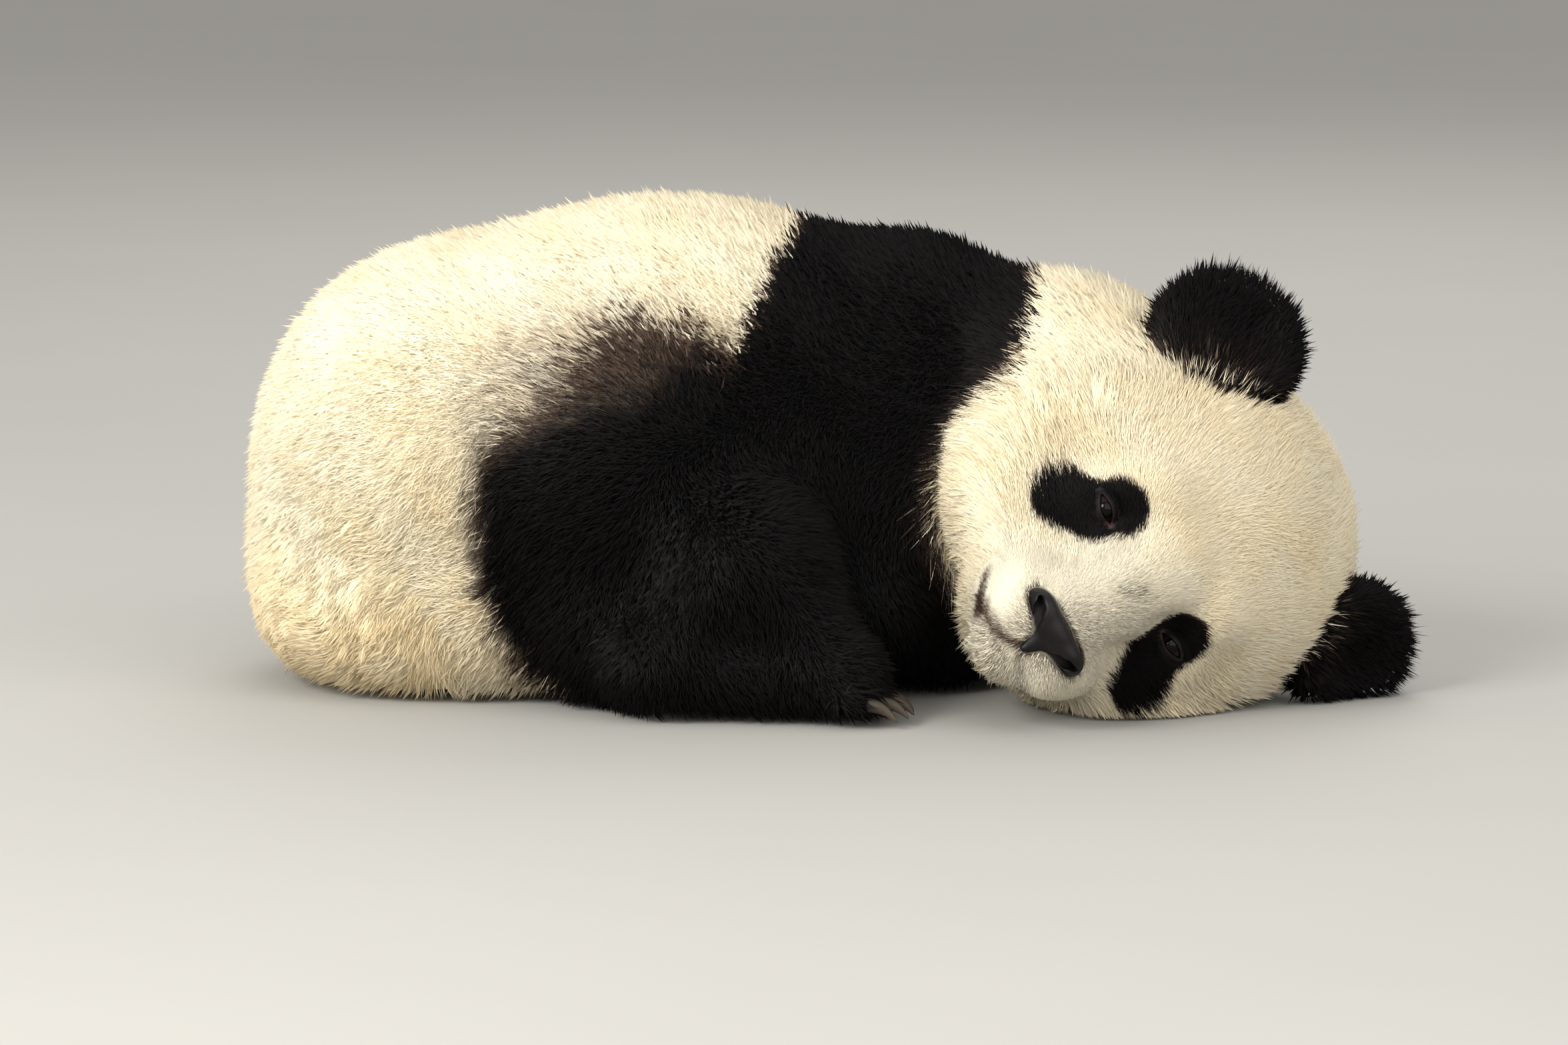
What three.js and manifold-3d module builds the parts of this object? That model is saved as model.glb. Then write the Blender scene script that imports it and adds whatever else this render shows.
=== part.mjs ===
// A giant panda cub lying on its belly with its head rolled over, life size, in millimetres.
// +X runs from the rump to the crown of the head, -Y is the cub's right flank, +Z is up, and the floor is Z = 0.
// Each solid is a round geometry drawn out to where a field is zero. A field is a function of a point. It is
// negative inside the coat and positive outside, near enough a distance by its surface, where the hairs end.
import * as THREE from "three";
import { mergeVertices } from "three/addons/utils/BufferGeometryUtils.js";
import Module from "manifold-3d";

const wasm = await Module();
wasm.setup();

// ---------------------------------------------------------------- driving dimensions
const GAP = 0.35; // clearance between solids that meet
const COARSE_GAP = 1.8; // the same, behind the head, where the neighbours are cut by a plainer copy of it
const MIDLINE = 36; // the Y of the spine

const HEAD_CENTRE = [177.7, -50, 87.7];
const HEAD_ROLL = 64.5; // degrees that the head is rolled on to its left cheek
const HEAD_TURN = 5; // degrees that the face is turned towards its lower cheek
const HEAD_RADIUS = [100, 113, 114]; // skull with its coat: front to back, side to side, chin to crown
const EYE_RADIUS = 11.5;
const EYE_PLACE = [78, 43, -10]; // forward of the head's centre, to the side, and up
const NOSE_PLACE = [131, 0, -67];
const NOSE_RADIUS = [15, 25, 11.5];
const EAR_RADIUS = [20, 48, 46]; // thickness, width and height of an ear, halved
const EAR_TURN = [0, -24, 29]; // the left ear faces forward, up and out
const EAR_CUP = [15, 27, 27]; // the hollow in its front
const EAR_PLACE = { right: [10, -88, 97], left: [2, 106, 82] };

const HAUNCH_RADIUS = [92, 80, 104];
const HAM_RADIUS = [52, 52, 64]; // the back of the thigh, where it sits on the floor
const KNEE_RADIUS = 48;
const HEEL_RADIUS = 32;
const HIND_TOE_RADIUS = 27;
const HIND_LEG = {
  right: { hip: [-116, -50, 130], ham: [-126, -72, 60], knee: [-52, -102, 84], heel: [-96, -116, 32], toes: [4, -129, 27] },
  left: { hip: [-116, 122, 130], ham: [-126, 144, 60], knee: [-52, 174, 84], heel: [-96, 190, 32], toes: [4, 206, 27] },
};
const SHOULDER_RADIUS = 66;
const ELBOW_RADIUS = 46;
const WRIST_RADIUS = 34;
const FORE_TOE_RADIUS = 28;
const FORE_LEG = {
  right: { shoulder: [40, -6, 140], elbow: [14, -46, 56], wrist: [58, -14, 34], toes: [84, 38, 27] },
  left: { shoulder: [40, 78, 140], elbow: [8, 128, 56], wrist: [96, 160, 34], toes: [160, 156, 27] },
};

const TOES = 5;
const TOE_RADIUS = [17, 10.5, 14];
const TOE_HEIGHT = 16;
const CLAW_LENGTH = 17;
const CLAW_RADIUS = 3.4;
const CLAW_TOP = 14; // height of a claw's root above the floor
const CLAW_TIP = 5;

// Cuts that part the body. A sleeve is an oval seen from the side that runs in from the flank.
const HAUNCH_SLEEVE = { centre: [-114, 116], radii: [84, 111], lean: 14, depth: 84 };
const ARM_SLEEVE = { centre: [32, 98], radii: [56, 92], lean: -14, depth: 56 };
const REAR_CUT = { at: [-34, 238], lean: 24 }; // where the dark band over the shoulders begins
const NECK_CUT = { at: [113, 245], lean: 22 }; // where it ends
const CHIN_TO_CROWN = 24; // how widely the curves of the face run into each other

// ---------------------------------------------------------------- fields
const vec = ([x, y, z]) => new THREE.Vector3(x, y, z);
const half = (a, b) => vec(a).lerp(vec(b), 0.5).toArray();

// An ellipsoid, turned by degrees about X, Y and Z. A squareness over 2 fills its corners out.
function egg(centre, radii, turn = [0, 0, 0], squareness = 2) {
  const back = new THREE.Quaternion().setFromEuler(new THREE.Euler(...turn.map(THREE.MathUtils.degToRad), "ZYX"));
  back.invert();
  return (p) => {
    const share = vec(p).sub(vec(centre)).applyQuaternion(back).toArray().map((d, k) => Math.abs(d) / radii[k]);
    const reach = share.reduce((sum, s) => sum + s ** squareness, 0) ** (1 / squareness);
    const slope = Math.hypot(...share.map((s, k) => s / radii[k]));
    return slope > 0 ? ((reach - 1) * Math.hypot(...share)) / slope : -Math.min(...radii);
  };
}

// A limb from one point to another, with a radius at each.
function limb(from, to, radiusFrom, radiusTo) {
  const along = vec(to).sub(vec(from));
  return (p) => {
    const q = vec(p).sub(vec(from));
    const share = THREE.MathUtils.clamp(q.dot(along) / along.lengthSq(), 0, 1);
    return q.addScaledVector(along, -share).length() - THREE.MathUtils.lerp(radiusFrom, radiusTo, share);
  };
}

// The smaller of two values, rounded over where they come within the width of each other.
function smoothLess(a, b, width) {
  const near = Math.max(width - Math.abs(a - b), 0) / width;
  return Math.min(a, b) - (near ** 3 * width) / 6;
}

const blend = (width, ...fields) => (p) => fields.map((f) => f(p)).reduce((a, b) => smoothLess(a, b, width));
const carve = (width, field, hollow) => (p) => -smoothLess(-field(p), hollow(p), width);
const grow = (field, by) => (p) => field(p) - by;

// ---------------------------------------------------------------- the head
// Places on the head are [forward, left, up] of its centre, as if it were held level.
const headFrame = (() => {
  const roll = THREE.MathUtils.degToRad(HEAD_ROLL);
  const turn = THREE.MathUtils.degToRad(HEAD_TURN);
  const lower = vec([Math.cos(roll), 0, -Math.sin(roll)]);
  const forward = vec([0, -Math.cos(turn), 0.08]).addScaledVector(lower, Math.sin(turn)).normalize();
  const left = lower.addScaledVector(forward, -lower.dot(forward)).normalize();
  const up = new THREE.Vector3().crossVectors(forward, left);
  return new THREE.Matrix4().makeBasis(forward, left, up).setPosition(vec(HEAD_CENTRE));
})();
const headInverse = headFrame.clone().invert();
const fromHead = (place) => vec(place).applyMatrix4(headFrame).toArray();
const inHead = (field) => (p) => field(vec(p).applyMatrix4(headInverse).toArray());
const bothSides = ([f, l, u]) => [[f, -l, u], [f, l, u]];

function headField() {
  const skull = egg([-6, -1, 10], HEAD_RADIUS);
  const upperCheek = egg([6, -51, -44], [74, 68, 64]);
  const lowerCheek = egg([6, 60, -44], [72, 68, 64]);
  const throat = egg([44, 0, -78], [56, 50, 44]);
  const muzzle = egg([86, 0, -76], [54, 47, 38]);
  const lips = bothSides([116, 17, -82]).map((c) => egg(c, [24, 22, 20]));
  const jaw = egg([96, 0, -101], [30, 25, 19]);
  const bridge = limb([118, 0, -62], [80, 0, 0], 19, 34);
  const brows = bothSides([72, 32, 20]).map((c) => egg(c, [26, 26, 20]));
  const sockets = bothSides([106, 44, -10]).map((c) => egg(c, [21, 20, 15]));
  const skullAndCheeks = blend(CHIN_TO_CROWN + 10, skull, upperCheek, lowerCheek, throat);
  const snout = blend(18, muzzle, ...lips, jaw, bridge);
  const face = blend(CHIN_TO_CROWN, skullAndCheeks, snout, ...brows);
  return inHead(sockets.reduce((field, socket) => carve(10, field, socket), face));
}

function earField(side) {
  const [f, l, u] = EAR_PLACE[side];
  const turn = [EAR_TURN[0], EAR_TURN[1], EAR_TURN[2] * Math.sign(l)];
  const cup = [f + 22, l * 1.05, u * 1.09];
  return inHead(carve(8, egg([f, l, u], EAR_RADIUS, turn), egg(cup, EAR_CUP, turn)));
}

// ---------------------------------------------------------------- the body and limbs
function bodyField() {
  const rump = egg([-210, 45, 119], [127, 148, 137], [0, 0, 0], 2.1);
  const seat = egg([-216, 42, 52], [118, 132, 66], [0, 0, 0], 2.4);
  const middle = egg([-92, MIDLINE, 140], [190, 146, 142]);
  const shoulders = egg([42, 32, 134], [108, 106, 128]);
  const nape = egg([120, 8, 138], [86, 92, 104], [0, 12, 0]);
  const torso = blend(40, rump, seat, middle, shoulders, nape);
  const haunches = Object.values(HIND_LEG).map(({ hip, ham, knee }) =>
    blend(30, egg(hip, HAUNCH_RADIUS, [0, 14, 0]), egg(ham, HAM_RADIUS), limb(hip, knee, 66, KNEE_RADIUS)),
  );
  const arms = Object.values(FORE_LEG).map((l) => limb(l.shoulder, l.elbow, SHOULDER_RADIUS, ELBOW_RADIUS));
  return blend(22, torso, ...haunches, ...arms);
}

// The toes' middles and headings, spread over the front of a paw in a shallow arc.
function toeRow(from, to, radius) {
  const forward = vec(to).sub(vec(from)).setZ(0).normalize();
  const across = new THREE.Vector3(-forward.y, forward.x, 0);
  return Array.from({ length: TOES }, (_, i) => {
    const step = i - (TOES - 1) / 2;
    const place = vec(to).addScaledVector(across, step * radius * 0.4);
    place.addScaledVector(forward, radius * (0.62 - 0.06 * step * step)).setZ(TOE_HEIGHT);
    return { place, heading: forward.clone().addScaledVector(across, step * 0.1).normalize() };
  });
}

function pawField(from, to, radiusFrom, radiusTo) {
  const toes = toeRow(from, to, radiusTo).map(({ place }) => egg(place.toArray(), TOE_RADIUS));
  return blend(12, limb(from, to, radiusFrom, radiusTo), ...toes);
}

// ---------------------------------------------------------------- solids
function toManifold(geometry) {
  const plain = new THREE.BufferGeometry().setAttribute("position", geometry.getAttribute("position").clone());
  if (geometry.index) plain.setIndex(geometry.index.clone());
  const merged = mergeVertices(plain, 1e-3);
  const vertProperties = merged.getAttribute("position").array;
  const triVerts = new Uint32Array(merged.index.array);
  return new wasm.Manifold(new wasm.Mesh({ numProp: 3, vertProperties, triVerts }));
}

function toGeometry(manifold) {
  const { vertProperties, triVerts } = manifold.getMesh();
  const geometry = new THREE.BufferGeometry().setAttribute("position", new THREE.BufferAttribute(vertProperties, 3));
  geometry.setIndex(new THREE.BufferAttribute(triVerts, 1));
  geometry.computeVertexNormals();
  return geometry;
}

// A round geometry whose points go out from the centre to where the field first turns positive.
// On a long piece the points crowd towards the two ends of its axis.
const STRIDE = 6;
const HALVINGS = 16;
const CROWDING = 0.9;
function wrap(field, centre, detail, axis = new THREE.Vector3()) {
  const geometry = new THREE.IcosahedronGeometry(1, detail);
  const position = geometry.getAttribute("position");
  for (let i = 0; i < position.count; i++) {
    const ray = new THREE.Vector3().fromBufferAttribute(position, i);
    ray.addScaledVector(axis, CROWDING * ray.dot(axis)).normalize();
    const at = (distance) => vec(centre).addScaledVector(ray, distance).toArray();
    let inside = 0;
    while (field(at(inside + STRIDE)) <= 0) inside += STRIDE;
    let outside = inside + STRIDE;
    for (let k = 0; k < HALVINGS; k++) {
      const middle = (inside + outside) / 2;
      if (field(at(middle)) > 0) outside = middle;
      else inside = middle;
    }
    position.setXYZ(i, ...at(inside));
  }
  return toManifold(geometry);
}

// A claw: a horn that bends down from the toe's tip towards the floor, thinning to its point.
function claw({ place, heading }, radius) {
  const root = place.clone().addScaledVector(heading, 9).setZ(CLAW_TOP);
  const bend = root.clone().addScaledVector(heading, CLAW_LENGTH * 0.62);
  const tip = root.clone().addScaledVector(heading, CLAW_LENGTH).setZ(CLAW_TIP);
  const curve = new THREE.QuadraticBezierCurve3(root, bend, tip);
  const sides = 5;
  const steps = 3;
  const rings = [];
  const side = new THREE.Vector3(0, 0, 1).cross(heading).normalize();
  for (let k = 0; k <= steps; k++) {
    const centre = curve.getPointAt(k / steps);
    const up = curve.getTangentAt(k / steps).cross(side);
    const size = radius * (1 - 0.85 * (k / steps) ** 1.5);
    for (let i = 0; i < sides; i++) {
      const angle = (2 * Math.PI * i) / sides;
      const out = side.clone().multiplyScalar(Math.cos(angle)).addScaledVector(up, 1.3 * Math.sin(angle));
      rings.push(...centre.clone().addScaledVector(out, size).toArray());
    }
  }
  const faces = [];
  for (let i = 0; i < sides; i++) {
    const next = (i + 1) % sides;
    for (let k = 0; k < steps; k++) {
      const [a, b] = [k * sides + i, k * sides + next];
      faces.push(a, b, b + sides, a, b + sides, a + sides);
    }
    if (i > 0 && i < sides - 1) faces.push(0, i + 1, i, steps * sides, steps * sides + i, steps * sides + i + 1);
  }
  const geometry = new THREE.BufferGeometry().setAttribute("position", new THREE.Float32BufferAttribute(rings, 3));
  return toManifold(geometry.setIndex(faces));
}

const box = (low, high) => {
  const size = vec(high).sub(vec(low));
  return new THREE.BoxGeometry(size.x, size.y, size.z).translate(...half(low, high));
};

// An oval sleeve from one flank, in to a depth under the body's side.
const FAR = 500;
function sleeve({ centre, radii, lean, depth }, side, extra) {
  const oval = new THREE.Shape();
  const [rx, rz] = radii.map((r) => r + extra);
  oval.absellipse(...centre, rx, rz, 0, 2 * Math.PI, false, THREE.MathUtils.degToRad(lean));
  const geometry = new THREE.ExtrudeGeometry(oval, { depth: FAR, bevelEnabled: false, curveSegments: 12 });
  geometry.rotateX(Math.PI / 2);
  const inner = depth - extra;
  return toManifold(geometry.translate(0, side === "right" ? MIDLINE - inner : MIDLINE + inner + FAR, 0));
}

// All that lies ahead of a sloping cut across the body.
function ahead({ at: [x, z], lean }, extra) {
  const geometry = box([-extra, -FAR, -FAR], [FAR, FAR, FAR]);
  return toManifold(geometry.rotateY(THREE.MathUtils.degToRad(lean)).translate(x, 0, z));
}

// ---------------------------------------------------------------- colours and finishes
const finish = (color, roughness) => new THREE.MeshStandardMaterial({ color, roughness, metalness: 0 });
const CREAM = finish(0xf0e4c8, 0.9);
const BLACK = finish(0x17130f, 0.85);
const LEATHER = finish(0x1a1718, 0.45);
const EYE = finish(0x140c08, 0.1);
const HORN = finish(0x4a4238, 0.5);

// ---------------------------------------------------------------- the parts
// Each part gives way to those added before it.
const group = new THREE.Group();
const taken = [];
const ground = toManifold(box([-2 * FAR, -2 * FAR, -FAR], [2 * FAR, 2 * FAR, 0]));
const largest = (solid) => solid.decompose().reduce((a, b) => (b.volume() > a.volume() ? b : a));
const apart = (a, b) => [0, 1, 2].some((k) => a.min[k] > b.max[k] || a.max[k] < b.min[k]);

function addPart(name, material, whole, room) {
  const bounds = whole.boundingBox();
  const near = taken.filter((other) => !apart(bounds, other.boundingBox()));
  const solid = largest(near.reduce((rest, other) => rest.subtract(other), whole.subtract(ground)));
  const mesh = new THREE.Mesh(toGeometry(solid), material);
  mesh.name = name;
  group.add(mesh);
  if (room) taken.push(room);
}

function addWrapped(name, material, field, centre, detail, axis) {
  addPart(name, material, wrap(field, centre, detail, axis), wrap(grow(field, GAP), centre, detail, axis));
}
const direction = (from, to) => vec(to).sub(vec(from)).normalize();

const SIDES = ["right", "left"];
SIDES.forEach((side, i) => {
  const centre = fromHead(bothSides(EYE_PLACE)[i]);
  addWrapped(`eye_${side}`, EYE, egg(centre, [EYE_RADIUS, EYE_RADIUS, EYE_RADIUS]), centre, 1);
});
addWrapped("nose", LEATHER, inHead(egg(NOSE_PLACE, NOSE_RADIUS, [0, -18, 0], 2.5)), fromHead(NOSE_PLACE), 2);

const paws = SIDES.flatMap((side) => {
  const { heel, toes } = HIND_LEG[side];
  const fore = FORE_LEG[side];
  return [
    { kind: "hind", side, from: heel, to: toes, radii: [HEEL_RADIUS, HIND_TOE_RADIUS] },
    { kind: "fore", side, from: fore.wrist, to: fore.toes, radii: [WRIST_RADIUS, FORE_TOE_RADIUS] },
  ];
});
for (const { kind, side, from, to, radii } of paws) {
  toeRow(from, to, radii[1]).forEach((toe, i) => {
    addPart(`${kind}claw_${side}_${i + 1}`, HORN, claw(toe, CLAW_RADIUS), claw(toe, CLAW_RADIUS + GAP));
  });
}

const head = headField();
addPart("head", CREAM, wrap(head, HEAD_CENTRE, 7), wrap(grow(head, COARSE_GAP), HEAD_CENTRE, 6));
for (const side of SIDES) {
  const [f, l, u] = EAR_PLACE[side];
  addWrapped(`ear_${side}`, BLACK, earField(side), fromHead([f - 5, l, u]), 2);
}
for (const { kind, side, from, to, radii } of paws) {
  const paw = pawField(from, to, ...radii);
  const root = kind === "hind" ? HIND_LEG[side].knee : FORE_LEG[side].elbow;
  const rootRadius = kind === "hind" ? KNEE_RADIUS - 6 : ELBOW_RADIUS - 4;
  const shins = [limb(root, from, rootRadius, radii[0])];
  if (kind === "hind") shins.push(limb(root, to, rootRadius, radii[1]));
  const detail = kind === "hind" ? 3 : 2;
  const centre = kind === "hind" ? half(root, half(from, to)) : half(half(root, to), from);
  const name = kind === "hind" ? `hindfoot_${side}` : `forearm_${side}`;
  addWrapped(name, BLACK, blend(16, paw, ...shins), centre, detail, direction(kind === "hind" ? from : root, to));
}

const body = wrap(bodyField(), [-90, MIDLINE, 130], 6, vec([1, 0, 0]));
for (const side of SIDES) {
  for (const [name, cut] of [["haunch", HAUNCH_SLEEVE], ["upper_arm", ARM_SLEEVE]]) {
    addPart(`${name}_${side}`, BLACK, body.intersect(sleeve(cut, side, 0)), sleeve(cut, side, GAP));
  }
}
addPart("neck", CREAM, body.intersect(ahead(NECK_CUT, 0)), ahead(NECK_CUT, GAP));
addPart("shoulders", BLACK, body.intersect(ahead(REAR_CUT, 0)), ahead(REAR_CUT, GAP));
addWrapped("tail", CREAM, egg([-314, 55, 72], [26, 34, 48]), [-314, 55, 72], 2);
addPart("trunk", CREAM, body);

// The origin is on the floor, under the middle of the whole.
const bounds = new THREE.Box3().setFromObject(group);
const middle = bounds.getCenter(new THREE.Vector3());
group.position.set(-middle.x, -middle.y, 0);

export default group;
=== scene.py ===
import logging
import math
from dataclasses import dataclass, field
from enum import Enum
from typing import Callable, Sequence

import bmesh
import bpy
import numpy as np
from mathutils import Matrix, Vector
from mathutils.kdtree import KDTree


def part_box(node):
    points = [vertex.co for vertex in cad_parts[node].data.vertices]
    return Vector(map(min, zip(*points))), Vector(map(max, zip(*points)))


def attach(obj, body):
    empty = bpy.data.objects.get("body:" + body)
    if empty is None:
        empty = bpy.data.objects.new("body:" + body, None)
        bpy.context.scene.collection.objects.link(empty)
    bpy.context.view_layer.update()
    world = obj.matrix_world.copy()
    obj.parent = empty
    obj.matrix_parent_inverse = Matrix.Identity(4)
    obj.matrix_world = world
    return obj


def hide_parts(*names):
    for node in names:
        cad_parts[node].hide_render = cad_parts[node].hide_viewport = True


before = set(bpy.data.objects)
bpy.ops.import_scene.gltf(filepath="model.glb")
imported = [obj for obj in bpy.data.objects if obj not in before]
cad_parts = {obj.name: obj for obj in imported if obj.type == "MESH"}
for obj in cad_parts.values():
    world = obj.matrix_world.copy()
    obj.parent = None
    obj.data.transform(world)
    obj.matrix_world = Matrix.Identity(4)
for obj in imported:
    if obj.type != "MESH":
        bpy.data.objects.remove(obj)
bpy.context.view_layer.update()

LOG = logging.getLogger("panda")
Vec3 = tuple[float, float, float]
Points = np.ndarray  # one row of x, y and z for each point
Values = np.ndarray  # one number for each point
SIDES = ("right", "left")
BODY = "root"
MM = 0.001


# -------- small sums on arrays
def unit(rows: Points) -> Points:
    """Rows scaled to length 1."""
    return rows / np.maximum(np.linalg.norm(rows, axis=1, keepdims=True), 1e-9)


def lerp(a: Values, b: Values, share: Values) -> Values:
    """The value a share of the way from a to b."""
    return a + (b - a) * share


def smoothstep(low: float, high: float, x: Values) -> Values:
    """Rises smoothly from 0 at low to 1 at high."""
    t = np.clip((x - low) / (high - low), 0, 1)
    return t * t * (3 - 2 * t)


def smooth_less(a: Values, b: Values, width: "float | Values") -> Values:
    """The smaller of two values, rounded over where they come within the width of each other.

    Args:
        a: One set of values.
        b: The other set.
        width: How close the two come before the rounding begins.

    Returns:
        The rounded minimum.
    """
    near = np.maximum(width - np.abs(a - b), 0) / width
    return np.minimum(a, b) - near**3 * width / 6


def smooth_more(a: Values, b: Values, width: float) -> Values:
    """The larger of two values, rounded over in the same way."""
    return -smooth_less(-a, -b, width)


# -------- fields
class Form:
    """A solid as a field that is negative inside it and near enough a distance by its surface."""

    def at(self, p: Points) -> Values:
        """The field's value at each point."""
        raise NotImplementedError

    def slope(self, p: Points, step: float = 0.25) -> Points:
        """The way out of the solid at each point, by differences.

        Args:
            p: The points.
            step: The length over which each difference is taken.

        Returns:
            The field's gradient, not scaled.
        """
        base = self.at(p)
        rows = [(self.at(p + step * axis) - base) / step for axis in np.eye(3)]
        return np.stack(rows, axis=1)


@dataclass(frozen=True)
class Egg(Form):
    """An ellipsoid, turned by degrees about X, Y and Z; a squareness over 2 fills its corners out."""

    centre: Vec3
    radii: Vec3
    turn: Vec3 = (0.0, 0.0, 0.0)
    squareness: float = 2.0

    def at(self, p: Points) -> Values:
        """The field's value at each point.

        Args:
            p: The points.

        Returns:
            One value for each.
        """
        ax, ay, az = np.radians(self.turn)
        about_x = np.array([[1, 0, 0], [0, np.cos(ax), -np.sin(ax)], [0, np.sin(ax), np.cos(ax)]])
        about_y = np.array([[np.cos(ay), 0, np.sin(ay)], [0, 1, 0], [-np.sin(ay), 0, np.cos(ay)]])
        about_z = np.array([[np.cos(az), -np.sin(az), 0], [np.sin(az), np.cos(az), 0], [0, 0, 1]])
        share = np.abs((p - np.array(self.centre)) @ (about_z @ about_y @ about_x)) / np.array(self.radii)
        reach = (share**self.squareness).sum(axis=1) ** (1 / self.squareness)
        size = np.linalg.norm(share, axis=1)
        slope = np.linalg.norm(share / np.array(self.radii), axis=1)
        return np.where(slope > 1e-9, (reach - 1) * size / np.maximum(slope, 1e-9), -min(self.radii))


@dataclass(frozen=True)
class Limb(Form):
    """A limb from one point to another, with a radius at each."""

    start: Vec3
    end: Vec3
    radius_start: float
    radius_end: float

    def at(self, p: Points) -> Values:
        """The field's value at each point.

        Args:
            p: The points.

        Returns:
            One value for each.
        """
        along = np.array(self.end) - np.array(self.start)
        q = p - np.array(self.start)
        share = np.clip(q @ along / (along @ along), 0, 1)
        reach = np.linalg.norm(q - share[:, None] * along, axis=1)
        return reach - lerp(self.radius_start, self.radius_end, share)


@dataclass(frozen=True)
class Blend(Form):
    """Several forms run into each other over a width."""

    width: float
    forms: tuple[Form, ...]

    def at(self, p: Points) -> Values:
        """The field's value at each point.

        Args:
            p: The points.

        Returns:
            One value for each.
        """
        values = [form.at(p) for form in self.forms]
        total = values[0]
        for value in values[1:]:
            total = smooth_less(total, value, self.width)
        return total


@dataclass(frozen=True)
class Carve(Form):
    """A form with hollows taken out of it."""

    width: float
    form: Form
    hollows: tuple[Form, ...]

    def at(self, p: Points) -> Values:
        """The field's value at each point.

        Args:
            p: The points.

        Returns:
            One value for each.
        """
        value = self.form.at(p)
        for hollow in self.hollows:
            value = smooth_more(value, -hollow.at(p), self.width)
        return value


def chain(places: Sequence[Vec3], radii: Sequence[float], width: float = 1.0) -> Form:
    """A bent limb through several places.

    Args:
        places: The places in order.
        radii: The limb's radius at each.
        width: How widely its lengths run into each other.

    Returns:
        The form.
    """
    lengths = zip(places, places[1:], radii, radii[1:])
    return Blend(width, tuple(Limb(a, b, ra, rb) for a, b, ra, rb in lengths))


@dataclass(frozen=True)
class HeadFrame:
    """The rolled head's own axes: a place on it is forward, left and up of its centre."""

    centre: Vec3 = (177.7, -50.0, 87.7)
    roll: float = 64.5
    turn: float = 5.0
    nod: float = 0.08

    def axes(self) -> np.ndarray:
        """Forward, left and up as the columns of a matrix.

        Returns:
            The matrix.
        """
        roll, turn = np.radians([self.roll, self.turn])
        lower = np.array([np.cos(roll), 0, -np.sin(roll)])
        forward = np.array([0, -np.cos(turn), self.nod]) + lower * np.sin(turn)
        forward /= np.linalg.norm(forward)
        left = lower - forward * (lower @ forward)
        left /= np.linalg.norm(left)
        return np.stack([forward, left, np.cross(forward, left)], axis=1)

    def into(self, p: Points) -> Points:
        """Places on the head, from points on the cub's axes."""
        return (p - np.array(self.centre)) @ self.axes()

    def out(self, q: Points) -> Points:
        """Points on the cub's axes, from places on the head."""
        return q @ self.axes().T + np.array(self.centre)

    def out_way(self, q: Points) -> Points:
        """Directions on the cub's axes, from directions on the head."""
        return q @ self.axes().T


HEAD = HeadFrame()


@dataclass(frozen=True)
class OnHead(Form):
    """A form given on the head's own axes."""

    form: Form

    def at(self, p: Points) -> Values:
        """The field's value at each point."""
        return self.form.at(HEAD.into(p))


class Ripple:
    """A smooth, repeatable unevenness between about -1 and 1, made of slanting waves."""

    def __init__(self, seed: int, wavelength: float, waves: int = 10) -> None:
        """Picks the waves.

        Args:
            seed: Number that the waves are drawn from.
            wavelength: Their middle length, in millimetres.
            waves: How many there are.
        """
        rng = np.random.default_rng(seed)
        ways = unit(rng.normal(size=(waves, 3)))
        self.numbers = ways * (2 * np.pi / wavelength * rng.uniform(0.6, 1.7, size=(waves, 1)))
        self.phases = rng.uniform(0, 2 * np.pi, size=waves)

    def at(self, p: Points) -> Values:
        """The unevenness at each point."""
        waves = np.sin(p @ self.numbers.T + self.phases)
        return waves.sum(axis=1) / math.sqrt(len(self.phases) / 2) * 0.6


# -------- the cub's shape
def mirrored(place: Vec3) -> tuple[Vec3, Vec3]:
    """A place on the head's right and its twin on the left."""
    f, l, u = place
    return (f, -abs(l), u), (f, abs(l), u)


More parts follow.
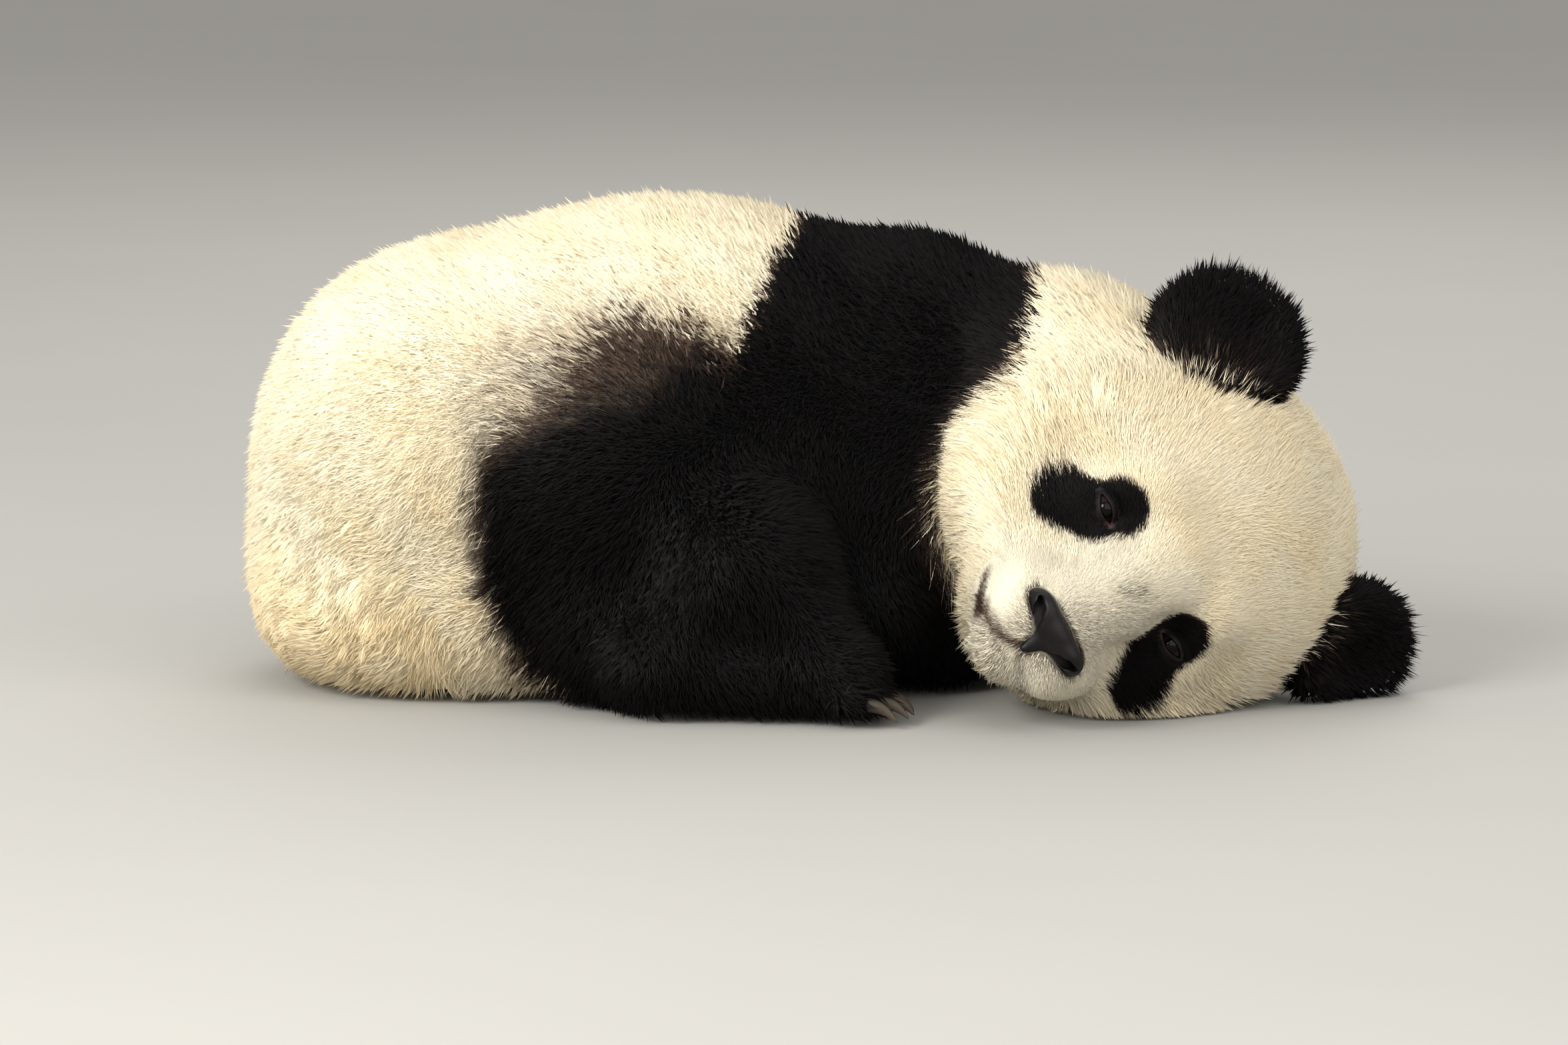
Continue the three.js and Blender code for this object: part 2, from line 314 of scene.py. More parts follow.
@dataclass(frozen=True)
class HeadShape:
    """Sizes of the head with its coat on, on its own axes."""

    skull: Vec3 = (100.0, 113.0, 114.0)
    eye: Vec3 = (78.2, 43.0, -10.0)
    eye_radius: float = 9.6
    lid_radius: float = 10.9
    nose: Vec3 = (131.0, 0.0, -67.0)
    ears: tuple[Vec3, Vec3] = ((10.0, -88.0, 97.0), (2.0, 106.0, 82.0))
    ear_radius: Vec3 = (20.0, 48.0, 46.0)
    ear_turn: Vec3 = (0.0, -24.0, 29.0)
    ear_cup: Vec3 = (15.0, 27.0, 27.0)
    mouth_line: tuple[Vec3, ...] = (
        (137.5, 0, -86), (135, 7, -91), (132, 13, -94), (129.5, 19, -95.5), (124.5, 26, -96),
        (116.5, 32, -95.5), (106, 37, -93.5), (95.5, 41, -88.5), (87, 43.5, -82),
    )  # fmt: skip

    def head(self) -> Form:
        """The skull, cheeks and snout, with a socket for each eye.

        Returns:
            The form, on the cub's axes.
        """
        crown = Egg((-6, -1, 10), self.skull)
        cheeks = (Egg((6, -51, -44), (74, 68, 64)), Egg((6, 60, -44), (72, 68, 64)))
        throat = Egg((44, 0, -78), (56, 50, 44))
        skull = Blend(34, (crown, *cheeks, throat))
        muzzle = Egg((86, 0, -76), (54, 47, 38))
        lips = tuple(Egg(c, (24, 22, 20)) for c in mirrored((116, 17, -82)))
        chin = Egg((96, 0, -101), (30, 25, 19))
        bridge = Limb((118, 0, -62), (80, 0, 0), 19, 34)
        snout = Blend(18, (muzzle, *lips, chin, bridge))
        brows = tuple(Egg(c, (26, 26, 20)) for c in mirrored((72, 32, 20)))
        sockets = tuple(Egg(c, (21, 20, 15)) for c in mirrored((106, 44, -10)))
        return OnHead(Carve(10, Blend(24, (skull, snout, *brows)), sockets))

    def ear(self, side: int) -> Form:
        """An ear with the hollow in its front; side 0 is the right one.

        Args:
            side: 0 for the right one and 1 for the left.

        Returns:
            The form, on the cub's axes.
        """
        f, l, u = self.ears[side]
        turn = (self.ear_turn[0], self.ear_turn[1], self.ear_turn[2] * math.copysign(1, l))
        cup = Egg((f + 22, l * 1.05, u * 1.09), self.ear_cup, turn)
        return OnHead(Carve(8, Egg((f, l, u), self.ear_radius, turn), (cup,)))

    def mouth(self) -> tuple[Form, Form]:
        """The slit of the mouth on each side.

        Returns:
            The right one and the left one.
        """
        radii = np.linspace(2.2, 3.0, len(self.mouth_line)).tolist()
        twins = [[(f, s * l, u) for f, l, u in self.mouth_line] for s in (-1, 1)]
        return tuple(OnHead(chain(places, radii)) for places in twins)


@dataclass(frozen=True)
class Leg:
    """A leg as places down it: its root in the body, the joint, the heel or wrist, and the toes."""

    root: Vec3
    joint: Vec3
    heel: Vec3
    toes: Vec3
    ham: Vec3 | None = None


@dataclass(frozen=True)
class BodyShape:
    """Sizes of the body and limbs with their coat on."""

    hind: tuple[Leg, Leg] = (
        Leg((-116, -50, 130), (-52, -102, 84), (-96, -116, 32), (4, -129, 27), (-126, -72, 60)),
        Leg((-116, 122, 130), (-52, 174, 84), (-96, 190, 32), (4, 206, 27), (-126, 144, 60)),
    )
    fore: tuple[Leg, Leg] = (
        Leg((40, -6, 140), (14, -46, 56), (58, -14, 34), (84, 38, 27)),
        Leg((40, 78, 140), (8, 128, 56), (96, 160, 34), (160, 156, 27)),
    )
    hind_radii: Vec3 = (48.0, 32.0, 27.0)
    fore_radii: Vec3 = (46.0, 34.0, 28.0)
    root_radius: float = 66.0  # of a leg in the body
    toe_radius: Vec3 = (17.0, 10.5, 14.0)
    toe_height: float = 16.0
    tail: Egg = Egg((-314, 55, 72), (26, 34, 48))

    def torso(self) -> Form:
        """Rump, belly, shoulders and nape.

        Returns:
            The form.
        """
        rump = Egg((-210, 45, 119), (127, 148, 137), squareness=2.1)
        seat = Egg((-216, 42, 52), (118, 132, 66), squareness=2.4)
        back = Egg((-92, 36, 140), (190, 146, 142))
        shoulders = Egg((42, 32, 134), (108, 106, 128))
        nape = Egg((120, 8, 138), (86, 92, 104), (0, 12, 0))
        return Blend(40, (rump, seat, back, shoulders, nape))

    def haunch(self, side: int) -> Form:
        """Thigh and ham down to the knee.

        Args:
            side: 0 for the right one and 1 for the left.

        Returns:
            The form.
        """
        leg = self.hind[side]
        thigh = Egg(leg.root, (92, 80, 104), (0, 14, 0))
        ham = Egg(leg.ham, (52, 52, 64))
        return Blend(30, (thigh, ham, Limb(leg.root, leg.joint, self.root_radius, self.hind_radii[0])))

    def upper_arm(self, side: int) -> Form:
        """Upper arm, from the shoulder to the elbow."""
        leg = self.fore[side]
        return Limb(leg.root, leg.joint, self.root_radius, self.fore_radii[0])

    def toe_row(self, leg: Leg, radius: float) -> list[tuple[Points, Points]]:
        """The toes' middles and headings, in a shallow arc over the front of a paw.

        Args:
            leg: The leg that the paw ends.
            radius: The paw's radius at its toes.

        Returns:
            Five pairs of a middle and a heading.
        """
        ahead = np.array(leg.toes, float) - np.array(leg.heel, float)
        ahead[2] = 0
        ahead /= np.linalg.norm(ahead)
        across = np.array([-ahead[1], ahead[0], 0])
        row = []
        for step in (-2, -1, 0, 1, 2):
            place = np.array(leg.toes) + across * (step * radius * 0.4)
            place = place + ahead * (radius * (0.62 - 0.06 * step * step))
            place[2] = self.toe_height
            heading = ahead + across * (step * 0.1)
            row.append((place, heading / np.linalg.norm(heading)))
        return row

    def foot(self, leg: Leg, radii: Vec3, hind: bool) -> Form:
        """The lower leg and paw.

        Args:
            leg: The leg.
            radii: Its radius at the joint, the heel and the toes.
            hind: Whether the shin lies along the foot, as a hind leg's does here.

        Returns:
            The form.
        """
        toes = tuple(Egg(tuple(place), self.toe_radius) for place, _ in self.toe_row(leg, radii[2]))
        paw = Blend(12, (Limb(leg.heel, leg.toes, radii[1], radii[2]), *toes))
        shins = [Limb(leg.joint, leg.heel, radii[0] - (6 if hind else 4), radii[1])]
        if hind:
            shins.append(Limb(leg.joint, leg.toes, radii[0] - 6, radii[2]))
        return Blend(16, (paw, *shins))


SKULL = HeadShape()
TRUNK = BodyShape()


# -------- the coat's parts
@dataclass(frozen=True)
class Lock:
    """How the tufts of one part of the coat are cut and laid."""

    width: float  # of a tuft at its middle, in millimetres
    cover: float  # how many tufts lie over any spot
    lean: float  # how far a tuft's tip is swept along the body for each millimetre that it stands out
    clump: float  # spacing of the spots that tufts draw together to
    pull: float  # how far they draw together


@dataclass(frozen=True)
class CoatPart:
    """One part of the body, as its coat sees it."""

    name: str
    form: Form
    depth: Callable[[Points], Values]
    lie: Callable[[Points], Points]
    lock: Lock


def even(depth: float) -> Callable[[Points], Values]:
    """A coat of one depth all over."""
    return lambda p: np.full(len(p), depth)


def toward(way: Vec3) -> Callable[[Points], Points]:
    """Hair that lies one way."""
    return lambda p: np.tile(np.array(way, float), (len(p), 1))


def away_from(centre: Vec3, squash: Vec3 = (1, 1, 1)) -> Callable[[Points], Points]:
    """Hair that lies outwards from a point."""
    return lambda p: (p - np.array(centre)) * np.array(squash)


@dataclass(frozen=True)
class HeadCoat:
    """How deep the hair on the head is, in millimetres."""

    muzzle: float = 2.2
    lids: float = 2.0
    face: float = 4.5
    back: float = 5.0  # what this place and the next two add to the face's
    cheek: float = 3.5
    jaw: float = 7.0


@dataclass(frozen=True)
class Seams:
    """How widely the parts of the skin run into each other, in millimetres."""

    haunch: float = 44.0
    arm: float = 44.0
    forearm: float = 26.0
    hindfoot: float = 48.0
    tail: float = 14.0
    ear: float = 12.0
    mouth: float = 3.0
    floor: float = 9.0
    throat: float = 24.0  # head and body, under the jaw
    nape: float = 96.0  # head and body, behind the crown
    jaw_trim: float = 7.0  # how much further in the skin is at the jaw, where the hair is long


@dataclass(frozen=True)
class Marks:
    """Places and sizes of the markings: on the head's own axes, then on the cub's."""

    patches: tuple[tuple[Vec3, ...], ...] = (
        ((0, 42, -2), (0, 46, -18), (0, 61.5, -29)),  # the right eye's, then the left one's
        ((0, 42, -3), (0, 45.5, -22), (0, 60, -36)),
    )
    patch_radii: Vec3 = (16, 15.5, 17.3)
    lip_turns: tuple[float, ...] = (0, 8, 22, 31, 39, 48, 58, 66)  # degrees round the muzzle
    lip_halves: tuple[float, ...] = (1.2, 2.8, 3.6, 4.6, 5.2, 4.6, 3.8, 2.8)  # half the dark line's breadth
    shade_turns: tuple[float, ...] = (0, 10, 25, 34, 45, 60)
    shades: tuple[float, ...] = (0.9, 0.56, 0.54, 0.88, 0.95, 0.58)  # how dark the line is there
    lip_fall: float = 4.6  # how far below the mouth its dark corner lies
    muzzle_middle: float = 60.0  # the point forward that turns are taken about
    spots: Vec3 = (122, -29, -64)  # the freckles by the nose
    crease: tuple[Vec3, Vec3] = ((119, 3, -10), (122, -4, -20))  # the fold between the eyes, where shade is painted
    band_rear_heights: tuple[float, ...] = (150, 203, 236, 252, 267, 281)
    band_rear: tuple[float, ...] = (-84, -57, -41, -33, -22, -12)
    band_front_heights: tuple[float, ...] = (0, 60, 100, 160, 200, 235, 260)
    band_front: tuple[float, ...] = (120, 110, 96, 90, 103, 115, 118)
    thigh: tuple[float, float] = (-112, 114)  # X and Z of the dark thigh's middle
    thigh_half: float = 99.0
    thigh_above: float = 123.0
    thigh_below: float = 140.0
    spine: float = 36.0  # Y of the body's middle line


SHAPE_REACH = 9.0  # how gently parts hand over to each other, in millimetres: for the coat's shape
MARK_REACH = 3.5  # for its markings
LIE_REACH = 24.0  # for the way that it lies
EAR_DEPTH = 11.0
SKIN_FLOOR = 4.0  # the skin's height over the floor, where the coat is pressed flat


class Pelt:
    """All that the skin and the coat ask about a point: depth, lie, which part it is on, and its markings."""

    def __init__(self) -> None:
        """Gathers the parts."""
        self.hair, self.seams, self.marks = HeadCoat(), Seams(), Marks()
        body = Lock(width=0.3, cover=1.04, lean=1.1, clump=6, pull=0.1)
        thigh = Lock(width=0.44, cover=1.9, lean=0.55, clump=5, pull=0.3)
        face = Lock(width=0.28, cover=2.05, lean=1.5, clump=4, pull=0.12)
        foot = Lock(width=0.46, cover=1.4, lean=1.0, clump=5, pull=0.3)
        ear = Lock(width=0.34, cover=2.4, lean=0.5, clump=4, pull=0.3)
        self.parts: list[CoatPart] = [
            CoatPart("head", SKULL.head(), self.head_depth, self.head_lie, face),
            CoatPart("torso", TRUNK.torso(), even(8.5), self.torso_lie, body),
            CoatPart("tail", TRUNK.tail, even(10), toward((-0.5, 0, -1)), body),
        ]
        for i, side in enumerate(SIDES):
            f, l, u = SKULL.ears[i]
            root = tuple(HEAD.out(np.array([[f - 10, l * 0.62, u * 0.62]]))[0])
            fore, hind = TRUNK.fore[i], TRUNK.hind[i]
            hip = hind.root
            haunch = away_from((hip[0] + 14, hip[1], hip[2] - 8))
            shank = away_from((hip[0] - 30, hip[1], hip[2] + 30), (1, 0.3, 1))
            arm_way = toward(tuple(np.subtract(fore.joint, fore.root)))
            fore_way = toward(tuple(np.subtract(fore.toes, fore.joint)))
            forearm = TRUNK.foot(fore, TRUNK.fore_radii, False)
            hindfoot = TRUNK.foot(hind, TRUNK.hind_radii, True)
            self.parts += [
                CoatPart(f"ear_{side}", SKULL.ear(i), even(EAR_DEPTH), away_from(root), ear),
                CoatPart(f"haunch_{side}", TRUNK.haunch(i), even(12), haunch, thigh),
                CoatPart(f"arm_{side}", TRUNK.upper_arm(i), even(11), arm_way, thigh),
                CoatPart(f"forearm_{side}", forearm, even(10), fore_way, foot),
                CoatPart(f"hindfoot_{side}", hindfoot, even(8.5), shank, foot),
            ]
        self.names = [part.name for part in self.parts]
        self.mouth = SKULL.mouth()
        self.swirl = Ripple(11, 70)
        self.tone = Ripple(12, 46)
        self.edge = Ripple(13, 16)

    def index(self, name: str) -> int:
        """The place of a part in the list."""
        return self.names.index(name)

    # ---- depth and lie
    def head_depth(self, p: Points) -> Values:
        """How deep the head's coat is: short round the nose and eyes, deep on the cheeks and jaw.

        Args:
            p: Points on or near the head.

        Returns:
            The depth at each, in millimetres.
        """
        q, hair = HEAD.into(p), self.hair
        forward, aside, up = q[:, 0], np.abs(q[:, 1]), q[:, 2]
        from_nose = np.linalg.norm(q - np.array(SKULL.nose), axis=1)
        back = smoothstep(95, 10, forward)
        cheek = smoothstep(45, 85, aside) * smoothstep(20, -30, up)
        jaw = smoothstep(-90, -106, up) * smoothstep(30, 60, forward)
        full = hair.face + hair.back * back + hair.cheek * cheek + hair.jaw * jaw
        depth = lerp(hair.muzzle, full, smoothstep(26, 105, from_nose))
        for eye in mirrored(SKULL.eye):
            near = np.linalg.norm(q - np.array(eye), axis=1)
            depth = lerp(hair.lids, depth, smoothstep(10, 34, near))
        return lerp(hair.muzzle, depth, np.where(up > -94, smoothstep(3, 16, self.lips(q)), 1.0))

    def head_lie(self, p: Points) -> Points:
        """Hair on the head, which lies away from the nose and, near them, from the eyes.

        Args:
            p: The points.

        Returns:
            Directions of length 1.
        """
        q = HEAD.into(p)
        way = unit(q - np.array([126.0, 0.0, -68.0]))
        for eye in mirrored(SKULL.eye):
            off = q - np.array(eye)
            near = smoothstep(34, 12, np.linalg.norm(off, axis=1))[:, None]
            way = way + 0.55 * near * unit(off)
        return HEAD.out_way(unit(way))

    def torso_lie(self, p: Points) -> Points:
        """Hair on the body, which lies back along it and down its flanks."""
        down = smoothstep(230, 60, p[:, 2])
        return unit(np.stack([-np.ones(len(p)), np.zeros(len(p)), -0.25 - 0.9 * down], axis=1))

    # ---- the surface
    def skin(self, p: Points) -> Values:
        """The skin's field: every part less its coat, run together and flattened on the floor.

        Args:
            p: The points.

        Returns:
            Negative inside the skin.
        """
        seams = self.seams
        value = {part.name: part.form.at(p) + part.depth(p) for part in self.parts}
        body = value["torso"]
        for side in SIDES:
            body = smooth_less(body, value[f"haunch_{side}"], seams.haunch)
            body = smooth_less(body, value[f"arm_{side}"], seams.arm)
        for side in SIDES:
            body = smooth_less(body, value[f"forearm_{side}"], seams.forearm)
            body = smooth_less(body, value[f"hindfoot_{side}"], seams.hindfoot)
        up = HEAD.into(p)[:, 2]
        head = value["head"] + seams.jaw_trim * smoothstep(-60, -95, up)
        for side in SIDES:
            head = smooth_less(head, value[f"ear_{side}"], seams.ear)
        for mouth in self.mouth:
            head = smooth_more(head, -mouth.at(p), seams.mouth)
        body = smooth_less(body, value["tail"], seams.tail)
        whole = smooth_less(head, body, lerp(seams.throat, seams.nape, smoothstep(-75, -15, up)))
        return smooth_more(whole, SKIN_FLOOR - p[:, 2], seams.floor)

    def slope(self, p: Points, step: float = 0.3) -> Points:
        """The way out of the skin at each point, by differences."""
        base = self.skin(p)
        return np.stack([(self.skin(p + step * axis) - base) / step for axis in np.eye(3)], axis=1)

    def shares(self, p: Points, reach: float = SHAPE_REACH) -> np.ndarray:
        """How much each part has a say at a point.

        Args:
            p: The points.
            reach: How gently one part hands over to the next.

        Returns:
            One column for each part; each row adds up to 1.
        """
        value = np.stack([part.form.at(p) + part.depth(p) for part in self.parts], axis=1)
        weight = np.exp(-(value - value.min(axis=1, keepdims=True)) / reach)
        return weight / weight.sum(axis=1, keepdims=True)

    def depth(self, p: Points, share: np.ndarray) -> Values:
        """How deep the coat is at points that several parts have a say in."""
        return sum(share[:, i] * part.depth(p) for i, part in enumerate(self.parts))

    def lock(self, key: str, share: np.ndarray) -> Values:
        """One of the locks' numbers at points that several parts have a say in."""
        return sum(share[:, i] * getattr(part.lock, key) for i, part in enumerate(self.parts))

    # ---- markings on the head
    def turn(self, q: Points) -> Values:
        """How far round the muzzle each place on the head is from its front, in degrees."""
        return np.degrees(np.arctan2(np.abs(q[:, 1]), q[:, 0] - self.marks.muzzle_middle))

    def eye_patch(self, q: Points) -> Values:
        """Distance outside the dark patch round each eye, on the head's axes.

        Args:
            q: Places on the head.

        Returns:
            Negative inside a patch.
        """
        spot = np.stack([0 * q[:, 0], np.abs(q[:, 1]), q[:, 2]], axis=1)
        right, left = (chain(places, self.marks.patch_radii).at(spot) for places in self.marks.patches)
        return np.where(q[:, 0] > 40, np.where(q[:, 1] > 0, left, right), 1e3)

    def lips(self, q: Points) -> Values:
        """Distance from the dark line of the mouth, over the skin, on the head's axes.

        Args:
            q: Places on the head.

        Returns:
            The distance of each, in millimetres.
        """
        turns = [math.degrees(math.atan2(l, f - self.marks.muzzle_middle)) for f, l, _ in SKULL.mouth_line]
        turn = self.turn(q)
        line = np.interp(turn, turns, [u for *_, u in SKULL.mouth_line])
        off = q[:, 2] - line + self.marks.lip_fall * smoothstep(22, 40, turn)
        return np.hypot(off, 0.7 * np.maximum(turn - turns[-1] - 3, 0))

    def lip_shade(self, q: Points, edge: Values) -> Values:
        """How dark the line of the mouth is: fainter on the far side, where it is in the fur.

        Args:
            q: Places on the head.
            edge: The raggedness of the markings' edges there.

        Returns:
            From 0 to 1.
        """
        turn, far = self.turn(q), smoothstep(0, 8, q[:, 1])
        half = np.interp(turn, self.marks.lip_turns, self.marks.lip_halves) * lerp(1.0, 0.7, far)
        spread = 5.2 + 0.065 * turn
        line = np.clip(0.5 + (half + 0.9 * edge - self.lips(q)) / spread, 0, 1) * (q[:, 0] > 60)
        return line * np.interp(turn, self.marks.shade_turns, self.marks.shades) * lerp(1.0, 0.8, far)

    def head_dark(self, p: Points, q: Points, edge: Values, nose: Values) -> Values:
        """How dark the head is: the patches, the mouth, the nose's rim, its freckles and the ears' feet.

        Args:
            p: Points on the cub's axes.
            q: The same on the head's.
            edge: The raggedness of the markings' edges there.
            nose: Distance outside the nose pad.

        Returns:
            From 0 to 1.
        """
        patch = smoothstep(1.4, -1.4, self.eye_patch(q) + 0.6 * edge)
        rim = smoothstep(3.6, 1.2, nose)
        spots = smoothstep(4.2, 0.8, np.linalg.norm(q - np.array(self.marks.spots), axis=1))
        dark = [patch, self.lip_shade(q, edge) * 0.96, rim * 0.8, spots * 0.6]
        for side in SIDES:
            ear = self.parts[self.index(f"ear_{side}")].form.at(p) + EAR_DEPTH
            dark.append(smoothstep(13, 7, ear + 2 * edge))
        return np.maximum.reduce(dark)

    def grizzle(self, q: Points) -> Values:
        """How grey the head is painted: grey short hair on the muzzle and over the bridge, painted shade in
        the fold between the eyes, and under the jaw painted shade over greyer hair.

        Args:
            q: Places on the head.

        Returns:
            From 0 to 1.
        """
        from_nose = np.linalg.norm(q - np.array(SKULL.nose), axis=1)
        muzzle = smoothstep(42, 14, from_nose)
        pad = smoothstep(38, 18, from_nose) * smoothstep(-58, -70, q[:, 2])
        # painted shade in the fold between the eyes
        crease = smoothstep(5, 1, Limb(*self.marks.crease, 0, 0).at(q))
        bridge = smoothstep(-24, 2, q[:, 1]) * smoothstep(50, 20, q[:, 1]) * smoothstep(90, 104, q[:, 0])
        bridge = bridge * smoothstep(-68, -52, q[:, 2]) * smoothstep(8, -14, q[:, 2])
        # painted shade under the jaw, over hair that is greyer there too
        jaw = smoothstep(-92, -100, q[:, 2]) * smoothstep(45, 80, q[:, 0]) * smoothstep(24, 4, q[:, 1])
        return np.clip(0.25 * muzzle + 0.65 * pad + 0.55 * bridge + 0.7 * crease + 0.8 * jaw, 0, 1)

    def bare(self, q: Points, nose: Values) -> Values:
        """Where the skin is bare: on the lids' rims and under the nose pad.

        Args:
            q: Places on the head.
            nose: Distance outside the nose pad.

        Returns:
            From 0 to 1.
        """
        bare = smoothstep(0.4, -0.2, nose)
        for eye in mirrored(SKULL.eye):
            rim = EYES.opening(q, eye) + 0.5 * np.sign(q[:, 2] - eye[2])
            bare = np.maximum(bare, smoothstep(3.8, 2.6, rim) * (q[:, 0] > 60))
        return bare

    def ruff(self, q: Points) -> Values:
        """How much of a ruff each place on the head has: along the jaw and on the sides of the cheeks.

        Args:
            q: Places on the head.

        Returns:
            From 0 to 1.
        """
        aside = np.abs(q[:, 1])
        jaw = smoothstep(-50, -85, q[:, 2]) * smoothstep(22, 48, aside) * smoothstep(112, 70, q[:, 0])
        side = smoothstep(72, 98, aside) * smoothstep(40, 0, q[:, 2])
        chin = smoothstep(-98, -108, q[:, 2]) * smoothstep(60, 90, q[:, 0])
        return np.maximum.reduce([jaw, side, 0.8 * chin])

    # ---- markings on the body
    def torso_dark(self, p: Points) -> Values:
        """Distance inside the dark band over the shoulders.

        Args:
            p: The points.

        Returns:
            Negative outside it.
        """
        x, z, marks = p[:, 0], p[:, 2], self.marks
        rear = 0.85 * (x - np.interp(z, marks.band_rear_heights, marks.band_rear))
        front = np.interp(z, marks.band_front_heights, marks.band_front) - x
        return np.minimum(rear, front)

    def haunch_dark(self, p: Points) -> Values:
        """Distance inside the dark of the thigh, and of the belly between it and the chest.

        Args:
            p: The points.

        Returns:
            Negative outside it.
        """
        x, z, marks = p[:, 0], p[:, 2], self.marks
        middle, level = marks.thigh
        wide = np.abs(x - middle) / marks.thigh_half
        high = np.maximum((z - level) / marks.thigh_above, (level - z) / marks.thigh_below)
        power = np.where((z > level) & (x < middle), 3.0, 2.0)
        off = (wide**power + high**power) ** (1 / power)
        chest = np.where(p[:, 1] > marks.spine, 92 - x, 100)
        return np.maximum((1 - off) * 96, np.minimum.reduce([level - z, x + 118, chest]))

    def body_dark(self, p: Points, edge: Values) -> Values:
        """How dark the body is: half dark is brown, as on the top of the thigh.

        Args:
            p: The points.
            edge: The raggedness of the markings' edges there.

        Returns:
            From 0 to 1.
        """
        x, y, z = p.T
        band = smoothstep(-5, 4, self.torso_dark(p) + 2.5 * edge)
        flank = smoothstep(46, 60, np.abs(y - self.marks.spine))
        hazy = smoothstep(140, 180, z) * smoothstep(-120, -160, x)
        soft = 7 + 4 * smoothstep(70, 130, z) + 20 * hazy
        within = self.haunch_dark(p) - 0.5 * soft + 4 * edge - 1.5 * hazy
        top = smoothstep(120, 190, z) * smoothstep(-60, -120, x)
        black = np.clip((within + 4) / (12 + 42 * top), 0, 1)
        thigh = np.clip(0.5 + 0.5 * within / soft, 0, 1) * lerp(0.56, 1, black)
        return np.maximum(thigh * flank, band)

    def warmth(self, p: Points, q: Points, head: Values) -> Values:
        """How warm the cream is: warmer low on the rump, cooler by the nose.

        Args:
            p: Points on the cub's axes.
            q: The same on the head's.
            head: How far each is on the head.

        Returns:
            From 0 to 1.
        """
        low = smoothstep(110, 20, p[:, 2]) * smoothstep(-150, -250, p[:, 0])
        from_nose = np.linalg.norm(q - np.array(SKULL.nose), axis=1)
        warm = np.clip(0.4 + 0.16 * self.tone.at(p) + 0.5 * low, 0, 1)
        return warm * (1 - 0.85 * smoothstep(105, 55, from_nose) * head)

    def markings(self, p: Points, share: np.ndarray) -> dict[str, Values]:
        """What colours each point: how dark, how warm, how grey (in places painted shade) and how bare it is.

        Args:
            p: Points on the skin, or on the coat above it.
            share: How much each part has a say there.

        Returns:
            Values from 0 to 1 under the names dark, warm, grizzle and bare.
        """
        part = {name: share[:, i] for i, name in enumerate(self.names)}
        q, edge = HEAD.into(p), self.edge.at(p)
        nose, body = OnHead(NOSE.solid()).at(p), self.body_dark(p, edge)
        dark = self.head_dark(p, q, edge, nose) * part["head"] + body * part["torso"]
        for side in SIDES:
            dark = dark + body * part[f"haunch_{side}"]
            for limb in ("ear", "arm", "forearm", "hindfoot"):
                dark = dark + part[f"{limb}_{side}"]
        return {
            "dark": np.clip(dark, 0, 1),
            "warm": self.warmth(p, q, part["head"]),
            "grizzle": self.grizzle(q) * part["head"],
            "bare": self.bare(q, nose),
        }


# -------- meshes
PLAIN_EYE: Vec3 = (78.0, -43.0, -10.0)  # the plain right eye's middle, on the head's axes


def frame_shift() -> Points:
    """How far the cub's axes lie from the frame's, in millimetres, from where the right eye is in each.

    Returns:
        The way from the one to the other.
    """
    low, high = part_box("eye_right")
    there = np.array((low + high) / 2) / MM
    here = HEAD.out(np.array([PLAIN_EYE]))[0]
    return there - here


SHIFT = frame_shift()


@dataclass
class Mesh:
    """A mesh on the cub's own axes, with what its material reads."""

    points: Points
    faces: np.ndarray  # corners of each face, all of one count
    values: dict[str, Values] = field(default_factory=dict)
    normals: Points | None = None
    patch: np.ndarray | None = None  # place of each corner on the map that colours are baked to

    def make(self, name: str, material: bpy.types.Material, smooth: bool = True) -> bpy.types.Object:
        """Puts the mesh into the frame.

        Args:
            name: The piece's name.
            material: Its material.
            smooth: Whether it is shaded smooth.

        Returns:
            The object.
        """
        mesh = bpy.data.meshes.new(name)
        sides = self.faces.shape[1]
        mesh.vertices.add(len(self.points))
        mesh.vertices.foreach_set("co", ((self.points + SHIFT) * MM).astype(np.float32).ravel())
        mesh.loops.add(self.faces.size)
        mesh.loops.foreach_set("vertex_index", self.faces.astype(np.int32).ravel())
        mesh.polygons.add(len(self.faces))
        mesh.polygons.foreach_set("loop_start", np.arange(0, self.faces.size, sides, dtype=np.int32))
        mesh.update(calc_edges=True)
        mesh.polygons.foreach_set("use_smooth", np.full(len(self.faces), smooth))
        for key, value in self.values.items():
            mesh.attributes.new(key, "FLOAT", "POINT").data.foreach_set("value", value.astype(np.float32))
        if self.patch is not None:
            mesh.uv_layers.new(name="OFBake").uv.foreach_set("vector", self.patch.astype(np.float32).ravel())
        if self.normals is not None:
            store = mesh.attributes.new("custom_normal", "FLOAT_VECTOR", "POINT")
            store.data.foreach_set("vector", self.normals.astype(np.float32).ravel())
        mesh.materials.append(material)
        made = bpy.data.objects.new(name, mesh)
        bpy.context.scene.collection.objects.link(made)
        return made


def probed(value: Callable[[Points], Values], grid: np.ndarray, step: float) -> np.ndarray:
    """A field's values over a grid, worked out in full only by its surface.

    Args:
        value: The field.
        grid: The grid's points, by their three places.
        step: Its spacing.

    Returns:
        One value for each point of the grid.
    """
    jump = 3
    sparse = grid[::jump, ::jump, ::jump]
    guess = value(sparse.reshape(-1, 3)).reshape(sparse.shape[:3])
    for axis in range(3):
        guess = np.repeat(guess, jump, axis=axis).take(np.arange(grid.shape[axis]), axis=axis)
    near = np.abs(guess) < 2.6 * jump * step
    guess[near] = np.concatenate([value(part) for part in np.array_split(grid[near], 8)])
    return guess


